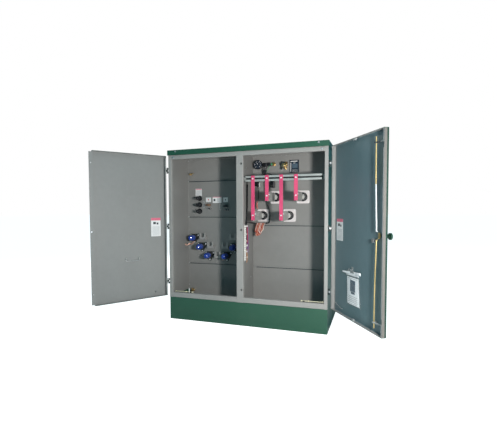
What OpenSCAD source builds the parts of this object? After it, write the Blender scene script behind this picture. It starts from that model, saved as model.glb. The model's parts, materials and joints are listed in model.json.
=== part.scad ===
// Three-phase pad-mounted transformer with a dead-front cable cabinet, doors open.
// Units are millimetres. +Z is up and the cabinet faces -Y.
// The origin is the middle of the tank's base, on the pad.

/* [Cabinet] */
// Width over the cabinet side sheets
cab_w = 1727; // [1500:1:2000]
// Depth from the front of the door frame to the tank wall
cab_d = 500; // [480:5:700]
// Height of the whole unit to the top of the roof
cab_h = 1887; // [1800:1:2100]
// Thickness of the cabinet sheet steel
sheet_t = 3; // [2:0.5:4]
// Inner bend radius of the sheet steel
bend_r = 2; // [1:0.5:4]
// Height of the roof's drip flange
roof_flange = 55; // [40:1:80]
// How far the roof overhangs the cabinet sides
roof_side = 7.6; // [4:0.2:14]
// How far the roof overhangs the door frame
roof_front = 11; // [4:1:25]

/* [Base sill] */
// Height of the base sill
sill_h = 247; // [150:1:350]
// Width of the inward foot flange of the base sill
foot_flange = 45; // [30:1:60]

/* [Door frame] */
// Visible width of the side posts
post_side = 36; // [24:1:45]
// Visible width of the centre post
post_mid = 74; // [60:1:90]
// Sideways place of the centre post's middle
post_mid_x = -32; // [-100:1:60]
// Height of the sill rail above the base sill
rail_sill = 54; // [40:1:80]
// Height of the head rail below the roof flange
rail_head = 46; // [35:1:70]
// Depth of the frame's channels
frame_d = 40; // [30:1:60]

/* [Doors] */
// Depth of the door pans
door_t = 42; // [34:1:50]
// Gap between a closed door and the frame
door_gap = 3; // [2:0.5:6]
// Gap between the closed doors' edges
door_meet = 9; // [6:0.5:10]
// Height of a door's lower edge above the base sill
door_low = 14; // [8:1:30]
// Gap between a door's upper edge and the roof flange
door_high = 4; // [3:1:12]
// How far a door's hinge edge stands past the cabinet side
door_edge = 5; // [3:0.5:7]
// Width of the left door's bolting strip
strip_w = 41; // [34:1:60]
// How much shorter the bolting strip is at each end
strip_short = 13; // [10:1:30]
// Room between the right door's free edge and the strip it closes over
free_gap = 1; // [0.5:0.5:4]
// Width of the inward lips on the door pans
door_lip = 12; // [8:1:20]
// Angle that the left door stands open
left_open = 122; // [90:1:138]
// Angle that the right door stands open
right_open = 119.5; // [90:0.5:138]

/* [Hinges] */
// Radius of the hinge knuckles
knuckle_r = 7; // [6:0.5:7.5]
// Radius of the hinge pins
pin_r = 4; // [3:0.5:4.5]
// Running clearance between a pin and a door knuckle
pin_clear = 0.06; // [0.02:0.01:0.1]
// Height of a hinge
hinge_h = 60; // [50:1:90]
// Distance of the hinge axis from the cabinet side
hinge_out = 15.5; // [14:0.5:17]
// Distance of the hinge axis behind the frame's front
hinge_in = 6; // [5:0.5:9]

/* [Tank] */
// Depth of the tank behind its front plate
tank_d = 894; // [800:1:1200]
// Height of the tank to its cover flange
tank_h = 1780; // [1600:1:1790]
// Radius of the tank's vertical corners
tank_r = 40; // [20:5:44]
// Thickness of the tank walls
tank_t = 5; // [4:0.5:8]
// Thickness of the tank's front plate
front_t = 6; // [5:0.5:10]
// Number of rear cooling panels
panel_count = 13; // [6:1:15]
// Depth of a cooling panel
panel_d = 180; // [120:5:260]

// Clearance of the fittings in their holes in the tank wall
hole_clear = 0.3; // [0.2:0.1:0.6]

/* [High-voltage bushings] */
// Sideways pitch of the bushings
hv_pitch_x = 100; // [96:1:110]
// Height step between bushings
hv_pitch_z = 104; // [100:1:115]
// Height of the lowest pair
hv_low_z = 678; // [650:1:760]
// Half of the distance between the two lowest bushings
hv_inner_x = 111; // [105:1:115]
// Sideways middle of the bushing group
hv_mid_x = -462; // [-470:1:-440]
// Radius of a bushing body in the wall
hv_body_r = 34; // [30:0.5:36]
// Length of a cap in front of the clamp plate
cap_len = 138; // [110:1:150]

/* [Low-voltage bushings] */
// Sideways pitch of the bushings
lv_pitch_x = 150; // [148:1:155]
// Height step of the staggered row
lv_step_z = 204; // [180:1:230]
// Sideways place of the first bushing
lv_first_x = 94; // [90:1:110]
// Height of the lower pair
lv_low_z = 1157; // [1120:1:1200]
// Side of the square flange plate
lv_plate = 142; // [130:1:146]
// Height of a spade
spade_h = 100; // [90:1:110]
// Thickness of a spade
spade_t = 12; // [10:1:16]
// Pitch of the spade's holes
spade_pitch = 44.45; // [44.45:0.01:44.45]
// Radius of the spade's holes
spade_hole_r = 7.15; // [6.5:0.05:8]
// Distance from the frame's front to the spade's tip
spade_tip_y = 92; // [88:1:140]

/* [Supports and wiring] */
// Height of the support rail's lower edge
rail_z = 1520; // [1500:1:1560]
// Height of the support rail's face
rail_face = 60; // [50:1:70]
// Width of a support strap
strap_w = 38; // [34:1:50]
// Thickness of a support strap
strap_t = 6; // [5:0.5:8]

/* [Latch] */
// Radius of the latch rods
rod_r = 5; // [4:0.5:6]
// Travel of the latch rods
rod_travel = 18; // [12:1:20]
// Radius of the latch cam's pin circle
cam_r = 20; // [16:1:24]
// Height of the handle's axis
handle_z = 1025; // [950:1:1080]

/* [Hidden] */

$fn = 48;
e = 0.01;
green = "#2f5f4e";
grey = "#9a9b98";
dark = "#22282a";
zinc = "#c8ccd0";
gold = "#b9a25a";
copper = "#b87352";

// Cabinet places, in the cabinet's own frame: y = 0 is the front of the door frame.
front_y = cab_d + front_t + tank_d / 2;
cab_x = cab_w / 2;
top_z = cab_h - roof_flange;
open_z0 = sill_h + rail_sill;
open_z1 = top_z - rail_head;
open_x = cab_x - post_side;
mid_x0 = post_mid_x - post_mid / 2;
mid_x1 = post_mid_x + post_mid / 2;

// Door places when closed.
edge_x = cab_x + door_edge;
door_z0 = sill_h + door_low;
door_z1 = top_z - door_high;
skin_y = -door_gap - door_t;
strip_x1 = mid_x1 - 3;
left_free_x = strip_x1 - strip_w;
right_free_x = left_free_x + door_meet;
free_y = -door_gap - sheet_t - free_gap;
channel_x = right_free_x + sheet_t + 0.1;
captive_x = strip_x1 - strip_w / 2 + 5;
captive_z = [open_z1 - 83, (open_z0 + open_z1) / 2 - 29, open_z0 + 81];
hinge_x = cab_x + hinge_out;
hinge_z = [open_z1 - 121, (open_z0 + open_z1) / 2, open_z0 + 124];

// Lapped seams of the tank wall, each side of the barrier.
seams_hv = [1573, 1140, 572];
seams_lv = [1045, 562];
lap_proud = 6;
in_y = skin_y + sheet_t + 0.1;

// Bushing places as [x, z].
hv_at = [for (s = [-1, 1], k = [2, 1, 0])
    [hv_mid_x + s * (hv_inner_x + k * hv_pitch_x), hv_low_z + k * hv_pitch_z]];
lv_at = [for (k = [0:3]) [lv_first_x + k * lv_pitch_x, lv_low_z + (k % 2) * lv_step_z]];

// ---------------------------------------------------------------- helpers
module cab() {
    translate([0, -front_y, 0])
        children();
}

// A cylinder along +Y from y to y + len.
module along_y(x, y, z, r, len) {
    translate([x, y, z])
        rotate([-90, 0, 0])
            cylinder(r = r, h = len);
}

module along_x(x, y, z, r, len) {
    translate([x, y, z])
        rotate([0, 90, 0])
            cylinder(r = r, h = len);
}

module box(a, b) {
    translate(a)
        cube(b - a);
}

// A hexagon or other polygon prism along +Y.
module prism_y(x, y, z, r, len, sides = 6) {
    translate([x, y, z])
        rotate([-90, 0, 0])
            cylinder(r = r, h = len, $fn = sides);
}

function unit(v) = v / norm(v);

// Folded sheet of height h, along a centre line whose turns are right angles.
module folded(h, p, t = sheet_t, r = bend_r) {
    rm = r + t / 2;
    last = len(p) - 1;
    for (i = [0:last - 1]) {
        d = unit(p[i + 1] - p[i]);
        n = [-d[1], d[0]] * t / 2;
        a = p[i] + d * (i == 0 ? 0 : rm);
        b = p[i + 1] - d * (i == last - 1 ? 0 : rm);
        linear_extrude(h)
            polygon([a + n, b + n, b - n, a - n]);
    }
    for (i = [1:1:last - 1]) {
        d1 = unit(p[i] - p[i - 1]);
        d2 = unit(p[i + 1] - p[i]);
        c = p[i] - d1 * rm + d2 * rm;
        q = rm + t;
        translate([c[0], c[1], 0])
            intersection() {
                difference() {
                    cylinder(r = rm + t / 2, h = h);
                    translate([0, 0, -1])
                        cylinder(r = rm - t / 2, h = h + 2);
                }
                linear_extrude(h)
                    polygon([[0, 0], d1 * q, (d1 - d2) * q, -d2 * q]);
            }
    }
}

module round_rect(w, h, r) {
    square([w - 2 * r, h], center = true);
    square([w, h - 2 * r], center = true);
    for (x = [-1, 1], y = [-1, 1])
        translate([x * (w / 2 - r), y * (h / 2 - r)])
            circle(r = r);
}

// A round-cornered plate on the tank wall, from y to y + t.
module wall_plate(x, z, w, h, r, y, t) {
    translate([x, y + t, z])
        rotate([90, 0, 0])
            linear_extrude(t)
                round_rect(w, h, r);
}

// Smooth points through a list, n steps between each pair.
function spline_point(a, b, c, d, t) =
    0.5 * (2 * b + (c - a) * t + (2 * a - 5 * b + 4 * c - d) * t * t
        + (3 * b - a - 3 * c + d) * t * t * t);
function smooth(p, n = 3) = let (m = len(p) - 1) concat(
    [for (i = [0:m - 1], k = [0:n - 1])
        spline_point(p[max(i - 1, 0)], p[i], p[i + 1], p[min(i + 2, m)], k / n)],
    [p[m]]);

// A tube swept along smoothed points, as one closed mesh.
module wire(p, r, n = 3, sides = 8) {
    q = smooth(p, n);
    m = len(q);
    ref = [0.31, 0.52, 0.79];
    rings = [for (i = [0:m - 1])
        let (
            t = unit(q[min(i + 1, m - 1)] - q[max(i - 1, 0)]),
            u = unit(cross(t, ref)),
            v = cross(t, u))
        for (k = [0:sides - 1])
            q[i] + r * (cos(360 * k / sides) * u + sin(360 * k / sides) * v)];
    walls = [for (i = [0:m - 2], k = [0:sides - 1])
        let (a = i * sides + k, b = i * sides + (k + 1) % sides)
        [a, a + sides, b + sides, b]];
    first = [for (k = [0:sides - 1]) k];
    final = [for (k = [sides - 1:-1:0]) (m - 1) * sides + k];
    polyhedron(rings, concat([first], walls, [final]), convexity = 4);
}

// Turns a closed door's pieces to where the door stands open.
module on_left_door() {
    cab()
        translate([-hinge_x, hinge_in, 0])
            rotate([0, 0, -left_open])
                translate([hinge_x, -hinge_in, 0])
                    children();
}

module on_right_door() {
    cab()
        translate([hinge_x, hinge_in, 0])
            rotate([0, 0, right_open])
                translate([-hinge_x, -hinge_in, 0])
                    children();
}

// ---------------------------------------------------------------- cabinet
module cabinet_roof() {
    color(green) cab() {
        x = cab_x + roof_side;
        y0 = -roof_front;
        y1 = cab_d + front_t + 8;
        difference() {
            rounded_pan_up(-x, x, y0, y1, top_z, cab_h, 5);
            translate([0, 0, -e])
                rounded_pan_up(-x + sheet_t, x - sheet_t, y0 + sheet_t, y1 - sheet_t,
                    top_z, cab_h - sheet_t, 3);
            for (s = roof_bolt_x)
                along_y(s, y0 - 1, roof_bolt_z, 4.2, sheet_t + 2);
        }
        box([-cab_x + 24, 20, top_z], [cab_x - 24, 20 + sheet_t, cab_h - sheet_t + e]);
        for (s = [0, 1])
            box([s * (2 * cab_x - sheet_t) - cab_x, 60, top_z],
                [s * (2 * cab_x - sheet_t) - cab_x + sheet_t, cab_d - 20, cab_h - sheet_t + e]);
    }
}

roof_bolt_x = [-772, 772];
roof_bolt_z = cab_h - 16;

// A block whose top edges are rounded on all four sides.
module rounded_pan_up(x0, x1, y0, y1, z0, z1, r) {
    intersection() {
        translate([0, y1, 0])
            rotate([90, 0, 0])
                linear_extrude(y1 - y0)
                    top_rounded(x0, x1, z0, z1, r);
        translate([x0, 0, 0])
            rotate([90, 0, 90])
                linear_extrude(x1 - x0)
                    top_rounded(y0, y1, z0, z1, r);
    }
}

module top_rounded(a0, a1, z0, z1, r) {
    translate([a0, z0])
        square([a1 - a0, z1 - z0 - r]);
    translate([a0 + r, z0])
        square([a1 - a0 - 2 * r, z1 - z0]);
    for (a = [a0 + r, a1 - r])
        translate([a, z1 - r])
            circle(r = r);
}

side_flange = 15;
module side_sheet(s) {
    color(green) cab() {
        x = cab_x - sheet_t / 2;
        difference() {
            translate([0, 0, sill_h])
                folded(top_z - sill_h, [
                    [s * x, sheet_t],
                    [s * x, cab_d - sheet_t / 2],
                    [s * (x - side_flange), cab_d - sheet_t / 2]]);
            for (z = side_bolt_z)
                along_y(s * (cab_x - side_flange + 3.5), cab_d - sheet_t - 1, z, 4.2, sheet_t + 2);
        }
    }
}
side_bolt_z = [1830 - 8, 1573, 1140, 572, 300];

module cabinet_side_left() {
    side_sheet(-1);
}

module cabinet_side_right() {
    side_sheet(1);
}

// The posts and rails are channels with their flanges to the rear, welded into one frame.
bush_r = 11;
bush_hole_r = 6.6;
module door_frame() {
    color(grey) cab() {
        h = sheet_t / 2;
        inner = cab_x - sheet_t;
        difference() {
            union() {
                for (s = [-1, 1])
                    translate([0, 0, sill_h])
                        folded(top_z - sill_h, [
                            [s * cab_x, h],
                            [s * (open_x + h), h],
                            [s * (open_x + h), frame_d]]);
                translate([0, 0, sill_h])
                    folded(top_z - sill_h, [
                        [mid_x0 + h, frame_d], [mid_x0 + h, h],
                        [mid_x1 - h, h], [mid_x1 - h, frame_d]]);
                for (side = [[-open_x, mid_x0], [mid_x1, open_x]]) {
                    rail(side[0] - 1, side[1] + 1, sill_h + h, open_z0 - h);
                    rail(side[0] - 1, side[1] + 1, top_z - h, open_z1 + h);
                }
                for (z = captive_z)
                    along_y(captive_x, sheet_t - e, z, bush_r, 12);
            }
            for (z = captive_z)
                along_y(captive_x, -1, z, bush_hole_r, sheet_t + 14);
            for (s = [-1, 1])
                along_y(s * corner_bolt_x, -1, corner_bolt_z, 4.2, sheet_t + 2);
        }
    }
}
corner_bolt_x = 802;
corner_bolt_z = open_z1 + 22;

// A rail channel between two posts; z_out is its closed edge and z_in the opening's edge.
module rail(x0, x1, z_out, z_in) {
    h = sheet_t / 2;
    translate([x0, 0, 0])
        rotate([90, 0, 90])
            folded(x1 - x0, [[frame_d, z_out], [h, z_out], [h, z_in], [frame_d, z_in]]);
}

module base_sill() {
    color(green) cab() {
        x = cab_w / 2 - sheet_t / 2;
        h = sheet_t / 2;
        rear = cab_d - 8;
        difference() {
            union() {
                folded(sill_h, [[-x, rear], [-x, h], [x, h], [x, rear]], sheet_t, 5);
                difference() {
                    box([-x, h, 0], [x, rear, sheet_t]);
                    box([-x + foot_flange, foot_flange, -1], [x - foot_flange, rear + 1, sheet_t + 1]);
                    for (s = [-1, 1])
                        box([s > 0 ? x - 8 : -x - 1, -1, -1], [s > 0 ? x + 1 : -x + 8, 8, sheet_t + 1]);
                }
            }
            for (s = [-1, 1])
                translate([s * anchor_x, anchor_front_y, -1])
                    cylinder(r = anchor_r, h = sheet_t + 2);
        }
    }
}
anchor_x = 700;
anchor_front_y = foot_flange / 2 + 3;
anchor_r = 9;

module compartment_barrier() {
    color(grey) cab() {
        difference() {
            union() {
                box([post_mid_x - sheet_t / 2, sheet_t, sill_h + 6],
                    [post_mid_x + sheet_t / 2, cab_d - lap_proud, top_z - 2]);
                box([post_mid_x - sheet_t / 2, frame_d + 10, 60],
                    [post_mid_x + sheet_t / 2, cab_d - lap_proud, sill_h + 6 + e]);
                box([post_mid_x - 18, cab_d - lap_proud - sheet_t, 60],
                    [post_mid_x, cab_d - lap_proud, top_z - 2]);
            }
            for (b = barrier_bolts)
                along_x(post_mid_x - 5, b[0], b[1], 4.2, 10);
        }
    }
}
barrier_bolts = [[390, 461], [227, 1677]];

// Hexagon bolt heads with washers, seated on the sheet they hold.
module bolt_y(x, y, z, r = 8, head = 6, shank = 8) {
    prism_y(x, y - head - 1.5, z, r, head);
    along_y(x, y - 1.5 - e, z, r * 1.3, 1.5 + e);
    along_y(x, y - e, z, 4, shank);
}

module cabinet_bolts() {
    color(zinc) cab() {
        for (s = roof_bolt_x)
            bolt_y(s, -roof_front, roof_bolt_z, 7, 5);
        for (s = [-1, 1])
            bolt_y(s * corner_bolt_x, 0, corner_bolt_z, 8, 5);
        for (s = [-1, 1], z = side_bolt_z)
            bolt_y(s * (cab_x - side_flange + 3.5), cab_d - sheet_t, z, 5, 5, sheet_t);
        for (b = barrier_bolts)
            translate([post_mid_x + sheet_t / 2, b[0], b[1]])
                rotate([0, 90, 0])
                    cylinder(r = 7, h = 6, $fn = 6);
        for (b = cover_bolt_at)
            translate([b[0], b[1], tank_h + cover_t])
                union() {
                    cylinder(r = 13, h = 3);
                    cylinder(r = 10, h = 10, $fn = 6);
                }
    }
}
cover_t = 8;
cover_lip = 26;
tank_y0 = cab_d + front_t;
tank_y1 = tank_y0 + tank_d;
cover_inset = 13;
cover_bolt_at = [
    for (k = [-3:3]) [k * 235, tank_y1 + cover_lip - cover_inset],
    for (s = [-1, 1], k = [0:3]) [s * (cab_w / 2 + cover_lip - cover_inset), tank_y0 + 200 + k * 165]];

// ---------------------------------------------------------------- tank
module tank_outline(grow = 0) {
    translate([0, tank_y0 + tank_d / 2])
        round_rect(cab_w + 2 * grow, tank_d + 2 * grow, tank_r + grow);
}

// Cuts a plan outline off at the front plate.
module behind_front() {
    intersection() {
        children();
        translate([-1200, tank_y0 + 0.3])
            square([2400, 2000]);
    }
}

module wall_hole(x, z, r) {
    along_y(x, cab_d - lap_proud - 1, z, r + hole_clear, front_t + lap_proud + tank_t + 3);
}

fuse_at = [[-706, 1363], [-706, 1284], [-706, 1207]];
switch_at = [[-577, 1282], [-356, 1267]];
drain_at = [-798, 232];
gauge_at = [38, 1733];
relief_at = [343, 1709];
plug_at = [213, 1735];
earth_at = [-820, 1657];
fuse_tube_r = 20;
stem_r = 8;
gauge_stem_r = 10;
relief_r = 20;
plug_r = 16;
drain_r = 14;
earth_r = 8;

module tank_body() {
    color(green) cab() {
        difference() {
            union() {
                linear_extrude(tank_h)
                    tank_outline();
                box([-cab_x + sheet_t + 1, cab_d, 0], [cab_x - sheet_t - 1, cab_d + front_t + e, top_z - 2]);
                translate([0, 0, tank_h - 10])
                    linear_extrude(10)
                        behind_front()
                            tank_outline(cover_lip);
                lapped_wall(-cab_x + sheet_t + side_flange + 4, post_mid_x - 20, seams_hv);
                lapped_wall(post_mid_x + 4, cab_x - sheet_t - side_flange - 4, seams_lv);
                for (s = [-1, 1], y = [tank_y0 + 190, tank_y1 - 190])
                    lifting_lug(s, y);
            }
            translate([0, 0, 8])
                linear_extrude(tank_h)
                    tank_outline(-tank_t);
            for (p = hv_at)
                wall_hole(p[0], p[1], hv_body_r);
            for (p = lv_at)
                wall_hole(p[0], p[1], lv_body_r);
            for (p = fuse_at)
                wall_hole(p[0], p[1], fuse_tube_r);
            for (p = switch_at)
                wall_hole(p[0], p[1], stem_r + 4);
            wall_hole(drain_at[0], drain_at[1], drain_r);
            wall_hole(relief_at[0], relief_at[1], relief_r);
            wall_hole(plug_at[0], plug_at[1], plug_r);
            wall_hole(gauge_at[0], gauge_at[1], gauge_stem_r);
            for (z = header_z)
                along_y(0, tank_y1 - tank_t - 2, z, header_stub_r + hole_clear, tank_t + 4);
        }
    }
}
lv_body_r = 40;
header_z = [260, 1560];
header_stub_r = 30;

// Overlapping front plates: each seam is a proud lip with a crevice under it.
module lapped_wall(x0, x1, seams) {
    for (z = seams) {
        box([x0, cab_d - lap_proud, z], [x1, cab_d + e, z + 9]);
    }
}

lug_hole_r = 24;
module lifting_lug(s, y) {
    translate([s * (cab_w / 2), y, tank_h - 190])
        difference() {
            union() {
                translate([s > 0 ? -e : -60, -9, 0])
                    cube([60 + e, 18, 100]);
                translate([s > 0 ? 60 : -60, 9, 50])
                    rotate([90, 0, 0])
                        cylinder(r = 50, h = 18);
            }
            translate([s * 66, 20, 50])
                rotate([90, 0, 0])
                    cylinder(r = lug_hole_r, h = 40);
        }
}

module tank_cover() {
    color(green) cab() {
        translate([0, 0, tank_h])
            linear_extrude(cover_t)
                behind_front()
                    tank_outline(cover_lip);
        translate([420, tank_y0 + 560, tank_h + cover_t - e])
            cylinder(r = 120, h = 14);
        for (k = [0:5])
            translate([420 + 100 * cos(60 * k), tank_y0 + 560 + 100 * sin(60 * k), tank_h + cover_t + 14 - e])
                cylinder(r = 9, h = 8, $fn = 6);
    }
}

// Flat hollow cooling panels between an upper and a lower header.
panel_gap = 110;
panel_t = 14;
header_y = 70;
header_r = 38;
module cooling_panels() {
    color(green) cab() {
        x0 = -(panel_count - 1) * panel_gap / 2;
        for (z = header_z) {
            along_x(x0 - 40, tank_y1 + header_y, z, header_r, -2 * x0 + 80);
            along_y(0, tank_y1 - 3, z, header_stub_r, header_y);
            along_y(0, tank_y1, z, header_stub_r + 14, 6);
        }
        for (k = [0:panel_count - 1])
            translate([x0 + k * panel_gap, tank_y1 + header_y + panel_d / 2 - 30, header_z[0] - 60])
                linear_extrude(header_z[1] - header_z[0] + 120)
                    round_rect(panel_t, panel_d, panel_t / 2 - 0.5);
    }
}

// ---------------------------------------------------------------- core and coils
core_y = tank_y0 + 470;
core_z0 = 230;
limb = 170;
limb_pitch = 500;
core_h = 1050;
core_d = 170;
coil_gap = 12;
coil_wall = 130;
coil_h = core_h - 2 * limb - 60;
module core() {
    color("#4c5054") cab() {
        w = 2 * limb_pitch + limb;
        difference() {
            box([-w / 2, core_y - core_d / 2, core_z0], [w / 2, core_y + core_d / 2, core_z0 + core_h]);
            for (s = [-1, 1])
                box([s * limb_pitch / 2 - (limb_pitch - limb) / 2, core_y - core_d, core_z0 + limb],
                    [s * limb_pitch / 2 + (limb_pitch - limb) / 2, core_y + core_d, core_z0 + core_h - limb]);
        }
    }
}

module core_clamps() {
    color("#3b3f42") cab() {
        w = 2 * limb_pitch + limb + 60;
        for (s = [-1, 1], z = [core_z0 + 20, core_z0 + core_h - limb + 20]) {
            y = core_y + s * (core_d / 2 + 5);
            box([-w / 2, y - 5, z], [w / 2, y + 5, z + limb - 40]);
        }
        for (x = [-limb_pitch, 0, limb_pitch], s = [-1, 1])
            box([x - 50, core_y + s * (core_d / 2 + 5) - 5, 8],
                [x + 50, core_y + s * (core_d / 2 + 5) + 5, core_z0 + 20 + e]);
        for (s = [-1, 1], x = [-w / 2 + 15, w / 2 - 15])
            box([x - 10, core_y + s * (core_d / 2 + 5) - 5, core_z0 + core_h - 21],
                [x + 10, core_y + s * (core_d / 2 + 5) + 5, tank_h - 60]);
    }
}

module coils() {
    color("#b98f5d") cab() {
        for (k = [-1:1])
            translate([k * limb_pitch, core_y, core_z0 + limb + 30])
                linear_extrude(coil_h)
                    difference() {
                        round_rect(limb + 2 * (coil_gap + coil_wall),
                            core_d + 2 * (coil_gap + coil_wall), 110);
                        round_rect(limb + 2 * coil_gap, core_d + 2 * coil_gap, 10);
                    }
        for (k = [-1:1], s = [-1, 1])
            if (abs(k + s * 0.3) < 1)
                translate([k * limb_pitch + s * 150 - 40, core_y - 60, core_z0 + limb])
                    cube([80, 120, 30 + e]);
    }
}

coil_front_y = core_y - core_d / 2 - coil_gap - coil_wall;
lead_y = tank_y0 + tank_t + 30.85;
module inner_leads() {
    color(copper) cab() {
        for (k = [0:2], s = [0, 1])
            let (p = hv_at[k + 3 * s], x = (k - 1) * limb_pitch + 80 * s - 40, z = 980 - 40 * s)
                wire([[p[0], lead_y, p[1]], [p[0], lead_y + 20, p[1]],
                    [p[0], lead_y + 40 + k * 24, p[1] + 20],
                    [(p[0] + x) / 2, lead_y + 50 + k * 30, (p[1] + z) / 2 + 60],
                    [x, coil_front_y - 60, z], [x, coil_front_y - 25, z], [x, coil_front_y - 0.5, z]], 4, 3);
        for (k = [0:3])
            let (p = lv_at[k]) {
                box([p[0] - 5, tank_y0 + tank_t + 8, p[1] - 30], [p[0] + 5, coil_front_y - 0.3, p[1] + 30]);
                box([p[0] - 5, coil_front_y - 40, 990], [p[0] + 5, coil_front_y - 0.3, p[1] - 29]);
            }
    }
}

// ---------------------------------------------------------------- hinges
module hinge_frame_leaf(s) {
    seg = (hinge_h - 21) / 2;
    for (z = hinge_z) {
        for (k = [0, 1])
            translate([0, 0, z - hinge_h / 2 + k * (hinge_h - seg)]) {
                translate([s * hinge_x, hinge_in, 0])
                    cylinder(r = knuckle_r, h = seg);
                translate([s > 0 ? cab_x : -hinge_x, hinge_in + 3, 0])
                    cube([hinge_out, knuckle_r - 3, seg]);
            }
        translate([s > 0 ? cab_x : -cab_x - 3, hinge_in + 3, z - hinge_h / 2])
            cube([3, 48, hinge_h]);
        translate([s * hinge_x, hinge_in, z - hinge_h / 2 - 3])
            cylinder(r = pin_r, h = hinge_h + 6);
    }
}

module frame_hinges() {
    color(dark) cab() {
        hinge_frame_leaf(-1);
        hinge_frame_leaf(1);
    }
}

module door_leaf(s) {
    half = 10;
    for (z = hinge_z)
        difference() {
            union() {
                translate([s * hinge_x, hinge_in, z - half])
                    cylinder(r = knuckle_r, h = 2 * half);
                translate([s > 0 ? edge_x : -edge_x - 3, -door_gap - 30, z - hinge_h / 2])
                    cube([3, 30, hinge_h]);
                translate([s > 0 ? edge_x : -edge_x - 3, -door_gap - 10, z - half])
                    cube([3, door_gap + 10 + hinge_in, 2 * half]);
                translate([s > 0 ? edge_x : -hinge_x, hinge_in - knuckle_r, z - half])
                    cube([hinge_x - edge_x, 4, 2 * half]);
            }
            translate([s * hinge_x, hinge_in, z - half - 1])
                cylinder(r = pin_r + pin_clear, h = 2 * half + 2);
        }
}

module left_door_hinges() {
    color(dark) on_left_door()
        door_leaf(-1);
}

module right_door_hinges() {
    color(zinc) on_right_door()
        door_leaf(1);
}

// ---------------------------------------------------------------- doors
// A block whose four outer edges are rounded at the skin, on the -Y side.
module pan_block(x0, x1, z0, z1, y_skin, y_open, r) {
    intersection() {
        translate([0, 0, z0])
            linear_extrude(z1 - z0)
                front_rounded(x0, x1, y_skin, y_open, r);
        translate([x0, 0, 0])
            rotate([90, 0, 90])
                linear_extrude(x1 - x0)
                    low_rounded(y_skin, y_open, z0, z1, r);
    }
}

// A rectangle rounded at both corners of its low first side.
module low_rounded(a0, a1, b0, b1, r) {
    translate([a0 + r, b0])
        square([a1 - a0 - r, b1 - b0]);
    translate([a0, b0 + r])
        square([a1 - a0, b1 - b0 - 2 * r]);
    for (b = [b0 + r, b1 - r])
        translate([a0 + r, b])
            circle(r = r);
}

module front_rounded(a0, a1, y0, y1, r) {
    translate([a0, y0 + r])
        square([a1 - a0, y1 - y0 - r]);
    translate([a0 + r, y0])
        square([a1 - a0 - 2 * r, y1 - y0]);
    for (a = [a0 + r, a1 - r])
        translate([a, y0 + r])
            circle(r = r);
}

module door_pan(x0, x1) {
    t = sheet_t;
    difference() {
        pan_block(x0, x1, door_z0, door_z1, skin_y, -door_gap, bend_r + t);
        pan_block(x0 + t, x1 - t, door_z0 + t, door_z1 - t, skin_y + t, -door_gap + 1, bend_r);
    }
}

module left_door() {
    color(green) on_left_door() {
        t = sheet_t;
        difference() {
            union() {
                door_pan(-edge_x, left_free_x);
                box([-edge_x + t - e, -door_gap - t, door_z0 + 20],
                    [-edge_x + t + door_lip, -door_gap, door_z1 - 20]);
                box([left_free_x - e, -door_gap - t, door_z0 + strip_short],
                    [strip_x1, -door_gap, door_z1 - strip_short]);
                along_y(-733, skin_y + t - e, open_z0 + 13, 5, 26);
                for (x = bail_x)
                    box([x - 6, skin_y + t - e, bail_z - 12], [x + 6, skin_y + t + 4, bail_z + 12]);
            }
            for (z = [captive_z[0], captive_z[2]])
                along_y(captive_x, -door_gap - t - 1, z, captive_r + 0.7, t + 2);
            along_y(captive_x, -door_gap - t - 1, captive_z[1], 8, t + 2);
        }
    }
}
bail_x = [-536, -387];
bail_z = 703;
bail_r = 3;
captive_r = 4.8;
captive_travel = 8;

module left_door_bail() {
    color(zinc) on_left_door() {
        y = skin_y + sheet_t + 4.3 + bail_r;
        wire([[bail_x[0], y, bail_z + 16], [bail_x[0], y, bail_z], [bail_x[0] + 1, y + 2, bail_z - 12],
            [bail_x[0] + 12, y + 4, bail_z - 18], [(bail_x[0] + bail_x[1]) / 2, y + 4, bail_z - 18],
            [bail_x[1] - 12, y + 4, bail_z - 18], [bail_x[1] - 1, y + 2, bail_z - 12],
            [bail_x[1], y, bail_z], [bail_x[1], y, bail_z + 16]], bail_r, 3, 12);
    }
}

module captive_bolt(z) {
    color(zinc) on_left_door() {
        y = -door_gap - sheet_t;
        along_y(captive_x, y - 0.2, z, captive_r, 12 + sheet_t + 0.2);
        along_y(captive_x, y - 1.7, z, 9.5, 1.5);
        prism_y(captive_x, y - 7.7, z, 8.5, 6 + e);
        along_y(captive_x, -door_gap + 8.2, z, captive_r + 1.1, 1.6);
    }
}

module captive_bolt_upper() {
    captive_bolt(captive_z[0]);
}

module captive_bolt_lower() {
    captive_bolt(captive_z[2]);
}

handle_x = 62;
security_x = 138;
security_z = 983;
module right_door() {
    color(green) on_right_door() {
        t = sheet_t;
        difference() {
            door_pan(right_free_x, edge_x);
            box([right_free_x - 1, free_y, door_z0 + t], [right_free_x + t, -door_gap + 1, door_z1 - t]);
            along_y(handle_x, skin_y - 1, handle_z, shaft_r + 0.05, t + 2);
            along_y(security_x, skin_y - 1, security_z, 8.4, t + 2);
        }
        box([edge_x - t - door_lip, -door_gap - t, door_z0 + 20], [edge_x - t + e, -door_gap, door_z1 - 20]);
        translate([800, skin_y + t - e, 318])
            rotate([-90, 0, 0])
                cylinder(r = 4, h = 12);
    }
}
shaft_r = 9;

// The stiffening angle inside the free edge. Its lip is notched to clear the captive bolts.
module right_door_channel() {
    color(grey) on_right_door() {
        h = sheet_t / 2;
        difference() {
            translate([0, 0, door_z0 + sheet_t + 0.3])
                folded(door_z1 - door_z0 - 2 * sheet_t - 0.6, [[channel_x + h, skin_y + sheet_t + 3],
                    [channel_x + h, free_y - h], [channel_x + door_lip, free_y - h]]);
            for (z = [captive_z[0], captive_z[2]])
                box([channel_x + sheet_t, free_y - 10, z - 20], [channel_x + 2 * door_lip, free_y + 1, z + 20]);
        }
    }
}

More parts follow.
